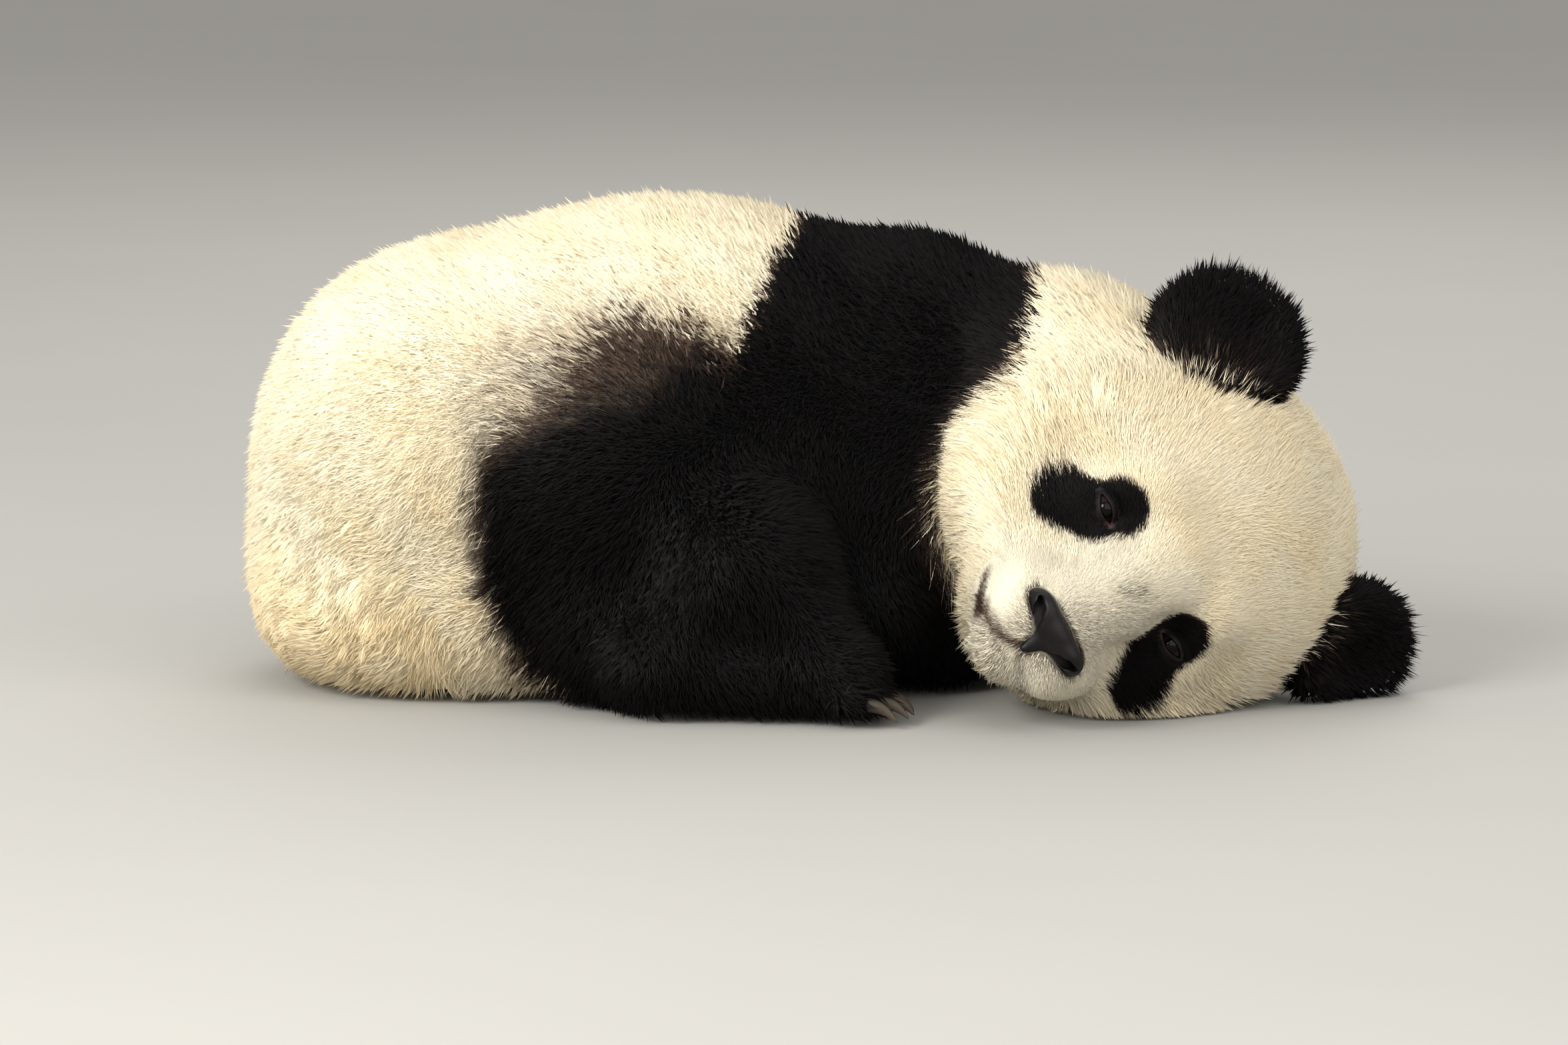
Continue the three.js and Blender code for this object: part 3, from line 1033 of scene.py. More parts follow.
def net(value: Callable[[Points], Values], low: Vec3, high: Vec3, step: float) -> tuple[Points, np.ndarray]:
    """A net of four-sided faces over the surface where a field is zero.

    Args:
        value: The field.
        low: The lowest corner of the box that is searched.
        high: The highest corner.
        step: Spacing of the grid.

    Returns:
        The net's points and the corners of its faces.
    """
    axes = [np.arange(a, b + step, step) for a, b in zip(low, high)]
    shape = tuple(len(a) for a in axes)
    grid = np.stack(np.meshgrid(*axes, indexing="ij"), axis=-1).reshape(-1, 3)
    coarse = probed(value, grid.reshape(*shape, 3), step)
    inside = coarse < 0
    total = np.zeros(tuple(n - 1 for n in shape) + (3,))
    count = np.zeros(tuple(n - 1 for n in shape))
    corners = [(i, j, k) for i in (0, 1) for j in (0, 1) for k in (0, 1)]

    def cut(corner: Vec3) -> tuple[slice, ...]:
        """Every cell's value at one of its corners."""
        return tuple(slice(c, n - 1 + c) for c, n in zip(corner, shape))

    for a in corners:
        for axis in range(3):
            if a[axis]:
                continue
            b = tuple(1 if k == axis else c for k, c in enumerate(a))
            va, vb = coarse[cut(a)], coarse[cut(b)]
            crossing = inside[cut(a)] != inside[cut(b)]
            share = np.where(crossing, va / np.where(crossing, va - vb, 1), 0)
            for k in range(3):
                total[..., k] += np.where(crossing, a[k] + (share if k == axis else 0), 0)
            count += crossing
    used = count > 0
    number = np.full(used.shape, -1)
    number[used] = np.arange(used.sum())
    cell = np.argwhere(used)
    points = np.array(low) + (cell + total[used] / count[used][:, None]) * step
    faces = []
    for axis in range(3):
        first, second = [k for k in range(3) if k != axis]
        ahead = tuple(slice(0, -1) if k == axis else slice(1, -1) for k in range(3))
        beyond = tuple(slice(1, None) if k == axis else slice(1, -1) for k in range(3))
        crossing = np.argwhere(inside[ahead] != inside[beyond])
        crossing[:, [first, second]] += 1
        out = inside[tuple(crossing.T)]
        ring = []
        for da, db in ((-1, -1), (0, -1), (0, 0), (-1, 0)):
            corner = crossing.copy()
            corner[:, first] += da
            corner[:, second] += db
            ring.append(number[tuple(corner.T)])
        quad = np.stack(ring, axis=1)
        flip = out == (axis == 1)
        quad[flip] = quad[flip][:, ::-1]
        faces.append(quad)
    return points, np.concatenate(faces)


def settle(points: Points, value: Callable[[Points], Values], times: int = 3, most: float = 2.0) -> Points:
    """Moves points on to the surface where a field is zero.

    Args:
        points: The points.
        value: The field.
        times: How often each is moved.
        most: The furthest that a point goes at once.

    Returns:
        The moved points.
    """
    for _ in range(times):
        base = value(points)
        rows = [(value(points + 0.2 * axis) - base) / 0.2 for axis in np.eye(3)]
        way = np.stack(rows, axis=1)
        move = -base[:, None] * way / np.maximum((way**2).sum(axis=1, keepdims=True), 0.25)
        size = np.linalg.norm(move, axis=1, keepdims=True)
        points = points + move * np.minimum(1, most / np.maximum(size, 1e-9))
    return points


# -------- materials
Colour = tuple[float, float, float]


def srgb(code: str) -> Colour:
    """A colour as light, from its code of six digits.

    Args:
        code: Red, green and blue as three pairs of hexadecimal digits.

    Returns:
        The three amounts of light.
    """
    parts = [int(code[i : i + 2], 16) / 255 for i in (0, 2, 4)]
    return tuple(c / 12.92 if c <= 0.04045 else ((c + 0.055) / 1.055) ** 2.4 for c in parts)


class Sum(Enum):
    """The sums that a shader value can be put through."""

    ADD = "ADD"
    SUBTRACT = "SUBTRACT"
    MULTIPLY = "MULTIPLY"


class Value:
    """A number that varies over a surface, with arithmetic that adds Math nodes."""

    def __init__(self, shader: "Shader", socket: bpy.types.NodeSocket) -> None:
        """Wraps an output socket."""
        self.shader = shader
        self.socket = socket

    def _sum(self, kind: Sum, first: "Value | float", second: "Value | float") -> "Value":
        """Adds a Math node for one sum."""
        return self.shader.node("ShaderNodeMath", {"operation": kind.value}, {0: first, 1: second})

    def __add__(self, other: "Value | float") -> "Value":
        """This value and another."""
        return self._sum(Sum.ADD, self, other)

    def __radd__(self, other: float) -> "Value":
        """A number and this value."""
        return self._sum(Sum.ADD, other, self)

    def __sub__(self, other: "Value | float") -> "Value":
        """This value less another."""
        return self._sum(Sum.SUBTRACT, self, other)

    def __rsub__(self, other: float) -> "Value":
        """A number less this value."""
        return self._sum(Sum.SUBTRACT, other, self)

    def __mul__(self, other: "Value | float") -> "Value":
        """This value times another."""
        return self._sum(Sum.MULTIPLY, self, other)

    def __rmul__(self, other: float) -> "Value":
        """A number times this value."""
        return self._sum(Sum.MULTIPLY, other, self)


class Shader:
    """A material's node tree, built from values and colours."""

    def __init__(self, name: str) -> None:
        """Starts an empty material with one Principled surface.

        Args:
            name: The material's name.
        """
        self.material = bpy.data.materials.new(name)
        self.material.use_nodes = True
        self.tree = self.material.node_tree
        self.tree.nodes.clear()
        self.surface = self.tree.nodes.new("ShaderNodeBsdfPrincipled")
        self.out = self.tree.nodes.new("ShaderNodeOutputMaterial")
        self.tree.links.new(self.surface.outputs["BSDF"], self.out.inputs["Surface"])

    def node(self, kind: str, settings: dict, inputs: dict, output: int | str = 0) -> Value:
        """Adds a node of any type.

        Args:
            kind: The node's type.
            settings: What is set on the node before its sockets, with a ramp's stops under "stops".
            inputs: Values or links, by the socket's name or number.
            output: Which output is wanted.

        Returns:
            The output, wrapped.
        """
        made = self.tree.nodes.new(kind)
        for key, value in settings.items():
            if key == "stops":
                while len(made.color_ramp.elements) < len(value):
                    made.color_ramp.elements.new(0.5)
                for stop, (place, colour) in zip(made.color_ramp.elements, value):
                    stop.position, stop.color = place, (*colour, 1)
            else:
                setattr(made, key, value)
        for key, value in inputs.items():
            self.feed(made.inputs[key], value)
        return Value(self, made.outputs[output])

    def feed(self, socket: bpy.types.NodeSocket, value: "Value | float | Sequence[float]") -> None:
        """Links or sets one input socket.

        Args:
            socket: The input.
            value: A value to link, or a number or colour to set.
        """
        if isinstance(value, Value):
            self.tree.links.new(value.socket, socket)
        elif hasattr(value, "__len__") and len(value) == 3 and socket.type == "RGBA":
            socket.default_value = (*value, 1)
        else:
            socket.default_value = value

    def attribute(self, name: str) -> Value:
        """A number stored on the mesh."""
        return self.node("ShaderNodeAttribute", {"attribute_name": name}, {}, "Fac")

    def mix(self, first: "Value | Colour", second: "Value | Colour", share: "Value | float") -> Value:
        """A colour between two others."""
        inputs = {0: share, 6: first, 7: second}
        return self.node("ShaderNodeMix", {"data_type": "RGBA"}, inputs, 2)

    def place(self, scale: float) -> Value:
        """Where a point is on the piece, scaled for a texture of so many cells to the metre."""
        where = self.node("ShaderNodeTexCoord", {}, {}, "Object")
        return self.node("ShaderNodeVectorMath", {"operation": "SCALE"}, {0: where, 3: scale})

    def noise(self, scale: float, detail: float = 3.0) -> Value:
        """Cloudy noise with so many cells to the metre."""
        inputs = {"Vector": self.place(scale), "Scale": 1.0, "Detail": detail}
        return self.node("ShaderNodeTexNoise", {}, inputs)

    def bump(self, height: Value, strength: float, distance: float) -> None:
        """Roughens the surface by a height."""
        bump = self.node("ShaderNodeBump", {}, {"Strength": strength, "Distance": distance, "Height": height})
        self.feed(self.surface.inputs["Normal"], bump)

    def through(self, colour: Colour, share: Value) -> None:
        """Lets part of the light through the surface.

        Args:
            colour: The colour that comes through.
            share: How much of it does, from 0 to 1.
        """
        thin = self.node("ShaderNodeBsdfTranslucent", {}, {"Color": colour})
        front = Value(self, self.surface.outputs["BSDF"])
        both = self.node("ShaderNodeMixShader", {}, {0: share, 1: front, 2: thin})
        self.feed(self.out.inputs["Surface"], both)

    def finish(self, constants: dict[str, float], varying: dict[str, Value]) -> bpy.types.Material:
        """Sets the surface's sockets.

        Args:
            constants: Numbers and colours that are the same all over.
            varying: Values that are not.

        Returns:
            The material.
        """
        for key, value in {**constants, **varying}.items():
            self.feed(self.surface.inputs[key], value)
        return self.material


@dataclass(frozen=True)
class FurFinish:
    """Hair: cream, brown or dark by the markings, painted a little darker at its roots for the shade deep in
    the coat; some light goes through the cream.
    """

    cream_tip: Colour = srgb("FFFAEA")
    cream_warm: Colour = srgb("FCE3B4")
    # painted shade: the root colours are a little darker than the tips, for the shade deep in the coat
    cream_shaded_root: Colour = srgb("FAF0D8")
    brown: Colour = srgb("4E3E34")
    dark_tip: Colour = srgb("100E0E")
    # painted shade at the roots of the dark hair
    dark_shaded_root: Colour = srgb("060505")
    # the grey of grey hair, and of painted shade under the jaw and between the eyes
    grizzle: Colour = srgb("665C53")
    glow: Colour = srgb("FFFAE4")  # of the light that goes through
    through: float = 0.4  # share of the light that goes through a cream tuft

    def material(self) -> bpy.types.Material:
        """Builds the material.

        Returns:
            The material, which reads dark, warm, grizzle, shade and along from the mesh.
        """
        shader = Shader("fur")
        dark, shade, along = (shader.attribute(n) for n in ("dark", "shade", "along"))
        cream = shader.mix(self.cream_tip, self.cream_warm, shader.attribute("warm") * 0.9 + shade * 0.16)
        # painted shade: the cream is mixed darker towards the roots
        cream = shader.mix(self.cream_shaded_root, cream, along * 0.7 + 0.3)
        # grey hair and, under the jaw and in the fold between the eyes, painted shade; stronger at the roots
        cream = shader.mix(cream, self.grizzle, shader.attribute("grizzle") * (1.3 - along * 0.8))
        # painted shade: the dark hair is mixed darker towards the roots
        black = shader.mix(self.dark_shaded_root, self.dark_tip, along * 0.6 + shade * 0.4)
        base = shader.mix(shader.mix(cream, self.brown, dark * 2.0), black, dark * 2.0 - 1.0)
        rough = 0.7 - dark * 0.12
        shader.through(self.glow, (1.0 - dark * 1.6) * self.through)
        return shader.finish({"Specular IOR Level": 0.06}, {"Base Color": base, "Roughness": rough})


@dataclass(frozen=True)
class SkinFinish:
    """Skin and the short hair on it: the coat's markings, with bare lids and lips."""

    cream: Colour = srgb("FBF3DF")
    warm: Colour = srgb("F4E4BF")
    dark: Colour = srgb("070606")
    bare: Colour = srgb("120F0F")
    pink: Colour = srgb("3A2A29")
    # the grey of grey hair, and of painted shade under the jaw and between the eyes
    grizzle: Colour = srgb("665C53")
    hairs: float = 900.0  # to the metre

    def material(self) -> bpy.types.Material:
        """Builds the material.

        Returns:
            The material, which reads dark, warm, grizzle, bare and pink from the mesh.
        """
        shader = Shader("skin")
        dark, bare = shader.attribute("dark"), shader.attribute("bare")
        cream = shader.mix(self.cream, self.warm, shader.attribute("warm"))
        # grey hair, with painted shade under the jaw and in the fold between the eyes
        cream = shader.mix(cream, self.grizzle, shader.attribute("grizzle") * 0.6)
        base = shader.mix(cream, self.dark, dark)
        lid = shader.mix(self.bare, self.pink, shader.attribute("pink"))
        base = shader.mix(base, lid, bare)
        shader.bump(shader.noise(self.hairs, 4.0), 0.35, 0.0006)
        rough = 0.75 - bare * 0.2
        return shader.finish({"Specular IOR Level": 0.1}, {"Base Color": base, "Roughness": rough})


@dataclass(frozen=True)
class LeatherFinish:
    """The nose: black, pebbled and a little moist."""

    base: Colour = srgb("080607")
    worn: Colour = srgb("120E0F")
    pebbles: float = 900.0  # to the metre
    clouds: float = 160.0

    def material(self) -> bpy.types.Material:
        """Builds the material.

        Returns:
            The material.
        """
        shader = Shader("nose_leather")
        cells = {"Vector": shader.place(self.pebbles), "Scale": 1.0}
        pebble = shader.node("ShaderNodeTexVoronoi", {"feature": "DISTANCE_TO_EDGE"}, cells)
        cloud = shader.noise(self.clouds)
        base = shader.mix(self.base, self.worn, cloud * 0.7)
        shader.bump(pebble + cloud * 0.5, 0.35, 0.0004)
        rough = 0.34 + cloud * 0.2
        return shader.finish({"Specular IOR Level": 0.17}, {"Base Color": base, "Roughness": rough})


@dataclass(frozen=True)
class EyeFinish:
    """An eyeball: a dark brown iris round a black pupil, under a clear wet front."""

    pupil: Colour = srgb("020202")
    iris: Colour = srgb("1C0F09")
    rim: Colour = srgb("080504")
    white: Colour = srgb("1E1716")
    streaks: float = 2400.0  # to the metre

    def material(self) -> bpy.types.Material:
        """Builds the material, which reads how far off the eye's axis a point is.

        Returns:
            The material.
        """
        shader = Shader("eye")
        off = shader.attribute("off_axis")
        stops = [(0.0, self.pupil), (0.30, self.pupil), (0.36, self.iris), (0.6, self.rim), (0.7, self.white)]
        base = shader.node("ShaderNodeValToRGB", {"stops": stops}, {"Fac": off})
        base = shader.mix(base, self.rim, shader.noise(self.streaks) * 0.4)
        return shader.finish({"Roughness": 0.05, "IOR": 1.22}, {"Base Color": base})


@dataclass(frozen=True)
class HornFinish:
    """Claws: dark horn, streaked along and paler at the tip."""

    base: Colour = srgb("17130F")
    tip: Colour = srgb("4A4034")
    streaks: float = 700.0  # to the metre

    def material(self) -> bpy.types.Material:
        """Builds the material.

        Returns:
            The material.
        """
        shader = Shader("claw_horn")
        along = shader.attribute("along")
        streak = shader.noise(self.streaks)
        base = shader.mix(self.base, self.tip, along * 0.6 + streak * 0.25)
        shader.bump(streak, 0.3, 0.0003)
        rough = 0.4 + streak * 0.2
        return shader.finish({"Specular IOR Level": 0.2}, {"Base Color": base, "Roughness": rough})


@dataclass(frozen=True)
class FloorFinish:
    """The plain pale floor."""

    colour: Colour = srgb("989692")
    cloudy: Colour = srgb("94928E")
    clouds: float = 3.0  # to the metre

    def material(self) -> bpy.types.Material:
        """Builds the material.

        Returns:
            The material.
        """
        shader = Shader("floor_paint")
        base = shader.mix(self.colour, self.cloudy, shader.noise(self.clouds))
        return shader.finish({"Specular IOR Level": 0.2, "Roughness": 0.8}, {"Base Color": base})


# -------- the nose
@dataclass(frozen=True)
class Shaft(Form):
    """A hole of some outline, seen from the front, down to a floor behind it."""

    outline: Form
    floor: float

    def at(self, p: Points) -> Values:
        """The field's value at each point.

        Args:
            p: The points.

        Returns:
            One value for each.
        """
        flat = p * np.array([0.0, 1.0, 1.0])
        taper = 0.09 * (p[:, 0] - self.floor - 10)
        return smooth_more(self.outline.at(flat) - taper, self.floor - p[:, 0], 2.0)


@dataclass(frozen=True)
class Nose:
    """The nose pad, with its nostrils and the groove down its middle."""

    step: float = 0.8
    wing_radii: Vec3 = (15, 15.5, 7.6)
    nostril: tuple[Vec3, ...] = ((0, 22.6, -64.4), (0, 18, -67.4), (0, 12.6, -71), (0, 8.2, -74.2))
    nostril_radii: tuple[float, ...] = (1.2, 2.5, 2.1, 1.0)
    nostril_floor: float = 128.0
    groove: tuple[Vec3, ...] = ((149, 0, -67), (147.5, 0, -74), (143.5, 0, -84))
    groove_radii: tuple[float, ...] = (0.4, 0.9, 1.3)
    front: float = 135.0  # how far forward its outline is taken
    behind: float = 112.0  # fur further back than this is clear of it

    def solid(self) -> Form:
        """The pad before anything is carved in it.

        Returns:
            The form, on the head's axes.
        """
        wings = tuple(
            Egg((130.5, 11.5 * s, -67.2), self.wing_radii, (16 * s, -16, -20 * s), 2.3) for s in (-1, 1)
        )
        middle = Egg((131.5, 0, -67), (15, 15, 8.2), (0, -20, 0), 2.2)
        foot = Limb((128, 0, -70.5), (132.4, 0, -84.4), 13.8, 2.6)
        return Blend(5, (*wings, middle, foot))

    def field(self) -> Form:
        """The finished nose's field, on the cub's axes.

        Returns:
            The form.
        """
        nostrils = []
        for s in (-1, 1):
            places = [(f, s * l, u) for f, l, u in self.nostril]
            nostrils.append(Shaft(chain(places, self.nostril_radii, 2.0), self.nostril_floor))
        groove = chain(self.groove, self.groove_radii)
        return OnHead(Carve(2.0, self.solid(), (*nostrils, groove)))

    def clear(self, p: Points) -> np.ndarray:
        """Whether points are clear of the pad, seen from its front.

        Args:
            p: The points.

        Returns:
            True for those that are clear.
        """
        q = HEAD.into(p)
        flat = np.stack([np.full(len(q), self.front), q[:, 1], q[:, 2]], axis=1)
        return (self.solid().at(flat) > 0.2) | (q[:, 0] < self.behind)

    def build(self, material: bpy.types.Material) -> bpy.types.Object:
        """Makes the nose, in place of the plain one.

        Args:
            material: Its leather.

        Returns:
            The piece.
        """
        middle = HEAD.out(np.array([SKULL.nose]))[0]
        value = self.field().at
        points, faces = net(value, tuple(middle - 32), tuple(middle + 32), self.step)
        points = settle(points, value)
        piece = Mesh(points, faces).make("nose_pad", material)
        return fitted(piece, "nose_leather", "nose")


def fitted(piece: bpy.types.Object, slot: str, *nodes: str) -> bpy.types.Object:
    """Rides a piece on the body, and hides the plain nodes that it stands for.

    Args:
        piece: The piece.
        slot: The record's slot; not used.
        *nodes: Nodes that it replaces.

    Returns:
        The same piece.
    """
    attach(piece, BODY)
    if nodes:
        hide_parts(*nodes)
    return piece


NOSE = Nose()
PELT = Pelt()


# -------- the eyes
@dataclass(frozen=True)
class Eyes:
    """Eyeballs, and the lids that the skin makes round them."""

    slit_half: float = 9.0  # half of the opening's length
    slit_rise: float = 2.8  # half of its height at the middle
    slit_slope: float = -0.16  # how the opening drops towards the nose
    reach: float = 18.0  # how far from an eye's middle the skin is drawn over it
    rim_rise: float = 0.5  # of the lid by the opening
    fold_depth: float = 0.9  # of the fold over the upper lid
    sunk: float = 1.8  # how far behind the ball's front the skin goes inside the opening
    bulge: float = 0.5  # of the ball's clear front
    rings: int = 40

    def opening(self, q: Points, eye: Vec3) -> Values:
        """Distance outside the almond between the lids, seen from the front.

        Args:
            q: Places on the head.
            eye: The eye's middle.

        Returns:
            Negative inside the opening.
        """
        inward = -math.copysign(1, eye[1])
        along, up = (q[:, 1] - eye[1]) * inward, q[:, 2] - eye[2]
        turn = math.atan(self.slit_slope)
        s = along * math.cos(turn) + up * math.sin(turn)
        t = -along * math.sin(turn) + up * math.cos(turn)
        below = (self.slit_half**2 - self.slit_rise**2) / (2 * self.slit_rise)
        return np.hypot(s, np.abs(t) + below) - below - self.slit_rise

    def lids(self, points: Points) -> Points:
        """Draws the skin over each eyeball and opens it.

        Args:
            points: The skin's points.

        Returns:
            The points with lids in them.
        """
        q = HEAD.into(points)
        for eye in mirrored(SKULL.eye):
            off = np.hypot(q[:, 1] - eye[1], q[:, 2] - eye[2])
            near = (off < self.reach) & (q[:, 0] > 55)
            part = q[near]
            reach = off[near]
            shell = eye[0] + np.sqrt(np.maximum(SKULL.lid_radius**2 - reach**2, 0))
            shell = shell - 30 * (reach > SKULL.lid_radius)
            ball = eye[0] + np.sqrt(np.maximum(SKULL.eye_radius**2 - reach**2, 0))
            front = smooth_more(part[:, 0], shell, 3.0)
            gap = self.opening(part, eye)
            rim = self.rim_rise * np.exp(-((gap - 0.9) ** 2) / 0.8)
            fold = -self.fold_depth * np.exp(-((gap - 4.2) ** 2) / 0.9)
            fold = fold * smoothstep(0, 2, part[:, 2] - eye[2])
            front = front + rim + fold
            part[:, 0] = lerp(front, ball - self.sunk, smoothstep(0.35, -0.35, gap))
            q[near] = part
        return HEAD.out(q)

    def build(self, material: bpy.types.Material) -> list[bpy.types.Object]:
        """Makes both eyeballs, in place of the plain ones.

        Args:
            material: The eye's finish.

        Returns:
            The pieces.
        """
        made = []
        for side, eye in zip(SIDES, mirrored(SKULL.eye)):
            polar = np.linspace(0, np.pi, self.rings + 1)
            turn = np.linspace(0, 2 * np.pi, self.rings * 2, endpoint=False)
            a, b = np.meshgrid(polar, turn, indexing="ij")
            radius = SKULL.eye_radius + self.bulge * smoothstep(0.62, 0.2, a)
            ball = np.stack([np.cos(a), np.sin(a) * np.cos(b), np.sin(a) * np.sin(b)], axis=-1)
            ball = ball * radius[..., None]
            places = HEAD.out(ball.reshape(-1, 3) + np.array(eye))
            n = len(turn)
            rows = np.arange(self.rings)[:, None] * n
            cols = np.arange(n)[None, :]
            after = (cols + 1) % n
            quads = np.stack([rows + cols, rows + after, rows + n + after, rows + n + cols], axis=-1)
            mesh = Mesh(places, quads.reshape(-1, 4)[:, ::-1], {"off_axis": (a / np.pi * 2).ravel()})
            piece = mesh.make(f"eyeball_{side}", material)
            weld(piece)
            made.append(fitted(piece, "eye", f"eye_{side}"))
        return made


def weld(piece: bpy.types.Object, reach: float = 1e-6) -> None:
    """Joins a piece's points that lie on each other, and faces it outwards.

    Args:
        piece: The piece.
        reach: How close such points are, in metres.
    """
    work = bmesh.new()
    work.from_mesh(piece.data)
    bmesh.ops.remove_doubles(work, verts=work.verts, dist=reach)
    bmesh.ops.dissolve_degenerate(work, edges=work.edges, dist=reach)
    bmesh.ops.recalc_face_normals(work, faces=work.faces)
    work.to_mesh(piece.data)
    work.free()


EYES = Eyes()


# -------- the skin
FLESH = (
    "head", "neck", "shoulders", "trunk", "tail",
    *(f"{part}_{side}" for part in ("ear", "haunch", "upper_arm", "forearm", "hindfoot") for side in SIDES),
)  # fmt: skip


@dataclass
class Skin:
    """One skin over the whole cub, finest round the eyes, nose and mouth."""

    step: float = 4.0
    low: Vec3 = (-346.0, -218.0, -6.0)
    high: Vec3 = (346.0, 258.0, 292.0)
    muzzle: Vec3 = (128, 0, -78)  # the middle of the finer skin round the nose, on the head's axes
    muzzle_reach: float = 46.0
    eye_reach: float = 26.0  # of the finer skin round each eye
    lid_reach: float = 13.5  # and of the finest
    mouth_corner: tuple[float, float] = (36.0, -90.0)  # how far aside and how far up it is
    tear_corner: tuple[float, float] = (9.0, -3.4)  # the pink corner, from the eye's middle
    points: Points = field(default_factory=lambda: np.zeros((0, 3)))
    faces: np.ndarray = field(default_factory=lambda: np.zeros((0, 3), int))
    normals: Points = field(default_factory=lambda: np.zeros((0, 3)))

    def finer(self, work: bmesh.types.BMesh, wanted: Callable[[Points], np.ndarray]) -> None:
        """Halves the edges of one region, then lays the points back on the surface.

        Args:
            work: The mesh that is being made.
            wanted: Says which points are in the region.
        """
        here = np.array([v.co for v in work.verts])
        inside = wanted(HEAD.into(here))
        edges = [e for e in work.edges if inside[e.verts[0].index] and inside[e.verts[1].index]]
        bmesh.ops.subdivide_edges(work, edges=edges, cuts=1, use_grid_fill=True)
        work.verts.index_update()
        here = np.array([v.co for v in work.verts])
        near = wanted(HEAD.into(here))
        here[near] = settle(here[near], PELT.skin, 2)
        for vert, place in zip(work.verts, here):
            vert.co = place

    def shape(self) -> None:
        """Works out the skin's points and three-sided faces."""
        points, faces = net(PELT.skin, self.low, self.high, self.step)
        points = settle(points, PELT.skin)
        mesh = bpy.data.meshes.new("skin_work")
        mesh.from_pydata(points.tolist(), [], faces.tolist())
        work = bmesh.new()
        work.from_mesh(mesh)
        bmesh.ops.recalc_face_normals(work, faces=work.faces)
        eyes = mirrored(SKULL.eye)

        def face(q: Points) -> np.ndarray:
            """The front of the head."""
            return (q[:, 0] > 40) & (np.linalg.norm(q, axis=1) < 165)

        def mask(q: Points) -> np.ndarray:
            """Round the eyes, nose and mouth.

            Args:
                q: Places on the head.

            Returns:
                True for those in the region.
            """
            near = np.linalg.norm(q - np.array(self.muzzle), axis=1) < self.muzzle_reach
            aside, up = self.mouth_corner
            mouth = (np.abs(np.abs(q[:, 1]) - aside) < 16) & (np.abs(q[:, 2] - up) < 14) & (q[:, 0] > 72)
            for eye in eyes:
                near |= np.linalg.norm(q - np.array(eye), axis=1) < self.eye_reach
            return near | mouth

        def lids(q: Points) -> np.ndarray:
            """Round the eyes alone.

            Args:
                q: Places on the head.

            Returns:
                True for those in the region.
            """
            near = np.zeros(len(q), bool)
            for eye in eyes:
                near |= (np.hypot(q[:, 1] - eye[1], q[:, 2] - eye[2]) < self.lid_reach) & (q[:, 0] > 60)
            return near

        for region in (face, mask, lids):
            self.finer(work, region)
        bmesh.ops.triangulate(work, faces=work.faces)
        work.verts.index_update()
        self.points = np.array([v.co for v in work.verts])
        self.faces = np.array([[v.index for v in f.verts] for f in work.faces])
        work.free()
        bpy.data.meshes.remove(mesh)
        self.normals = unit(PELT.slope(self.points))
        self.points = EYES.lids(self.points)

    def build(self, material: bpy.types.Material) -> bpy.types.Object:
        """Makes the skin, in place of every part of flesh.

        Args:
            material: The skin's finish.

        Returns:
            The piece.
        """
        values = PELT.markings(self.points, PELT.shares(self.points, MARK_REACH))
        q = HEAD.into(self.points)
        values["pink"] = np.zeros(len(q))
        inward, up = self.tear_corner
        for _, l, u in mirrored(SKULL.eye):
            off = np.hypot(q[:, 1] - (l + math.copysign(inward, -l)), q[:, 2] - (u + up))
            values["pink"] = np.maximum(values["pink"], smoothstep(4.5, 1.0, off))
        piece = Mesh(self.points, self.faces, values).make("skin", material)
        return fitted(piece, "cream_fur", *FLESH)


# -------- the coat
@dataclass(frozen=True)
class TuftShape:
    """A tuft as points along its bend, with offsets across and above it, in tuft widths."""

    along: tuple[float, ...]
    across: tuple[float, ...]
    above: tuple[float, ...]
    faces: tuple[tuple[int, int, int], ...]


BLADE = TuftShape(
    along=(0, 0.42, 0.42, 1),
    across=(0, 0.5, -0.5, 0),
    above=(0, 0.1, 0.1, 0),
    faces=((0, 1, 2), (3, 2, 1), (0, 3, 1), (0, 2, 3)),
)


class CoatPiece(Enum):
    """The pieces that the coat is cut into."""

    FACE = "coat_face"
    BROW = "coat_brow"
    CROWN = "coat_crown"
    CHEEK_RIGHT = "coat_cheek_right"
    CHEEK_LEFT = "coat_cheek_left"
    EAR_RIGHT = "coat_ear_right"
    EAR_LEFT = "coat_ear_left"
    NECK = "coat_neck"
    SHOULDER_RIGHT = "coat_shoulder_right"
    SHOULDER_LEFT = "coat_shoulder_left"
    BACK_RIGHT = "coat_back_right"
    BACK_LEFT = "coat_back_left"
    RUMP_RIGHT = "coat_rump_right"
    RUMP_LEFT = "coat_rump_left"
    HAUNCH_RIGHT = "coat_haunch_right"
    HAUNCH_LEFT = "coat_haunch_left"
    FORELEG_RIGHT = "coat_foreleg_right"
    FORELEG_LEFT = "coat_foreleg_left"
    FOOT_RIGHT = "coat_hindfoot_right"
    FOOT_LEFT = "coat_hindfoot_left"

    @property
    def slot(self) -> str:
        """The name of the record's slot for the piece: black fur or cream fur."""
        dark = ("ear_", "shoulder", "haunch", "foreleg", "hindfoot")
        return "black_fur" if any(word in self.value for word in dark) else "cream_fur"


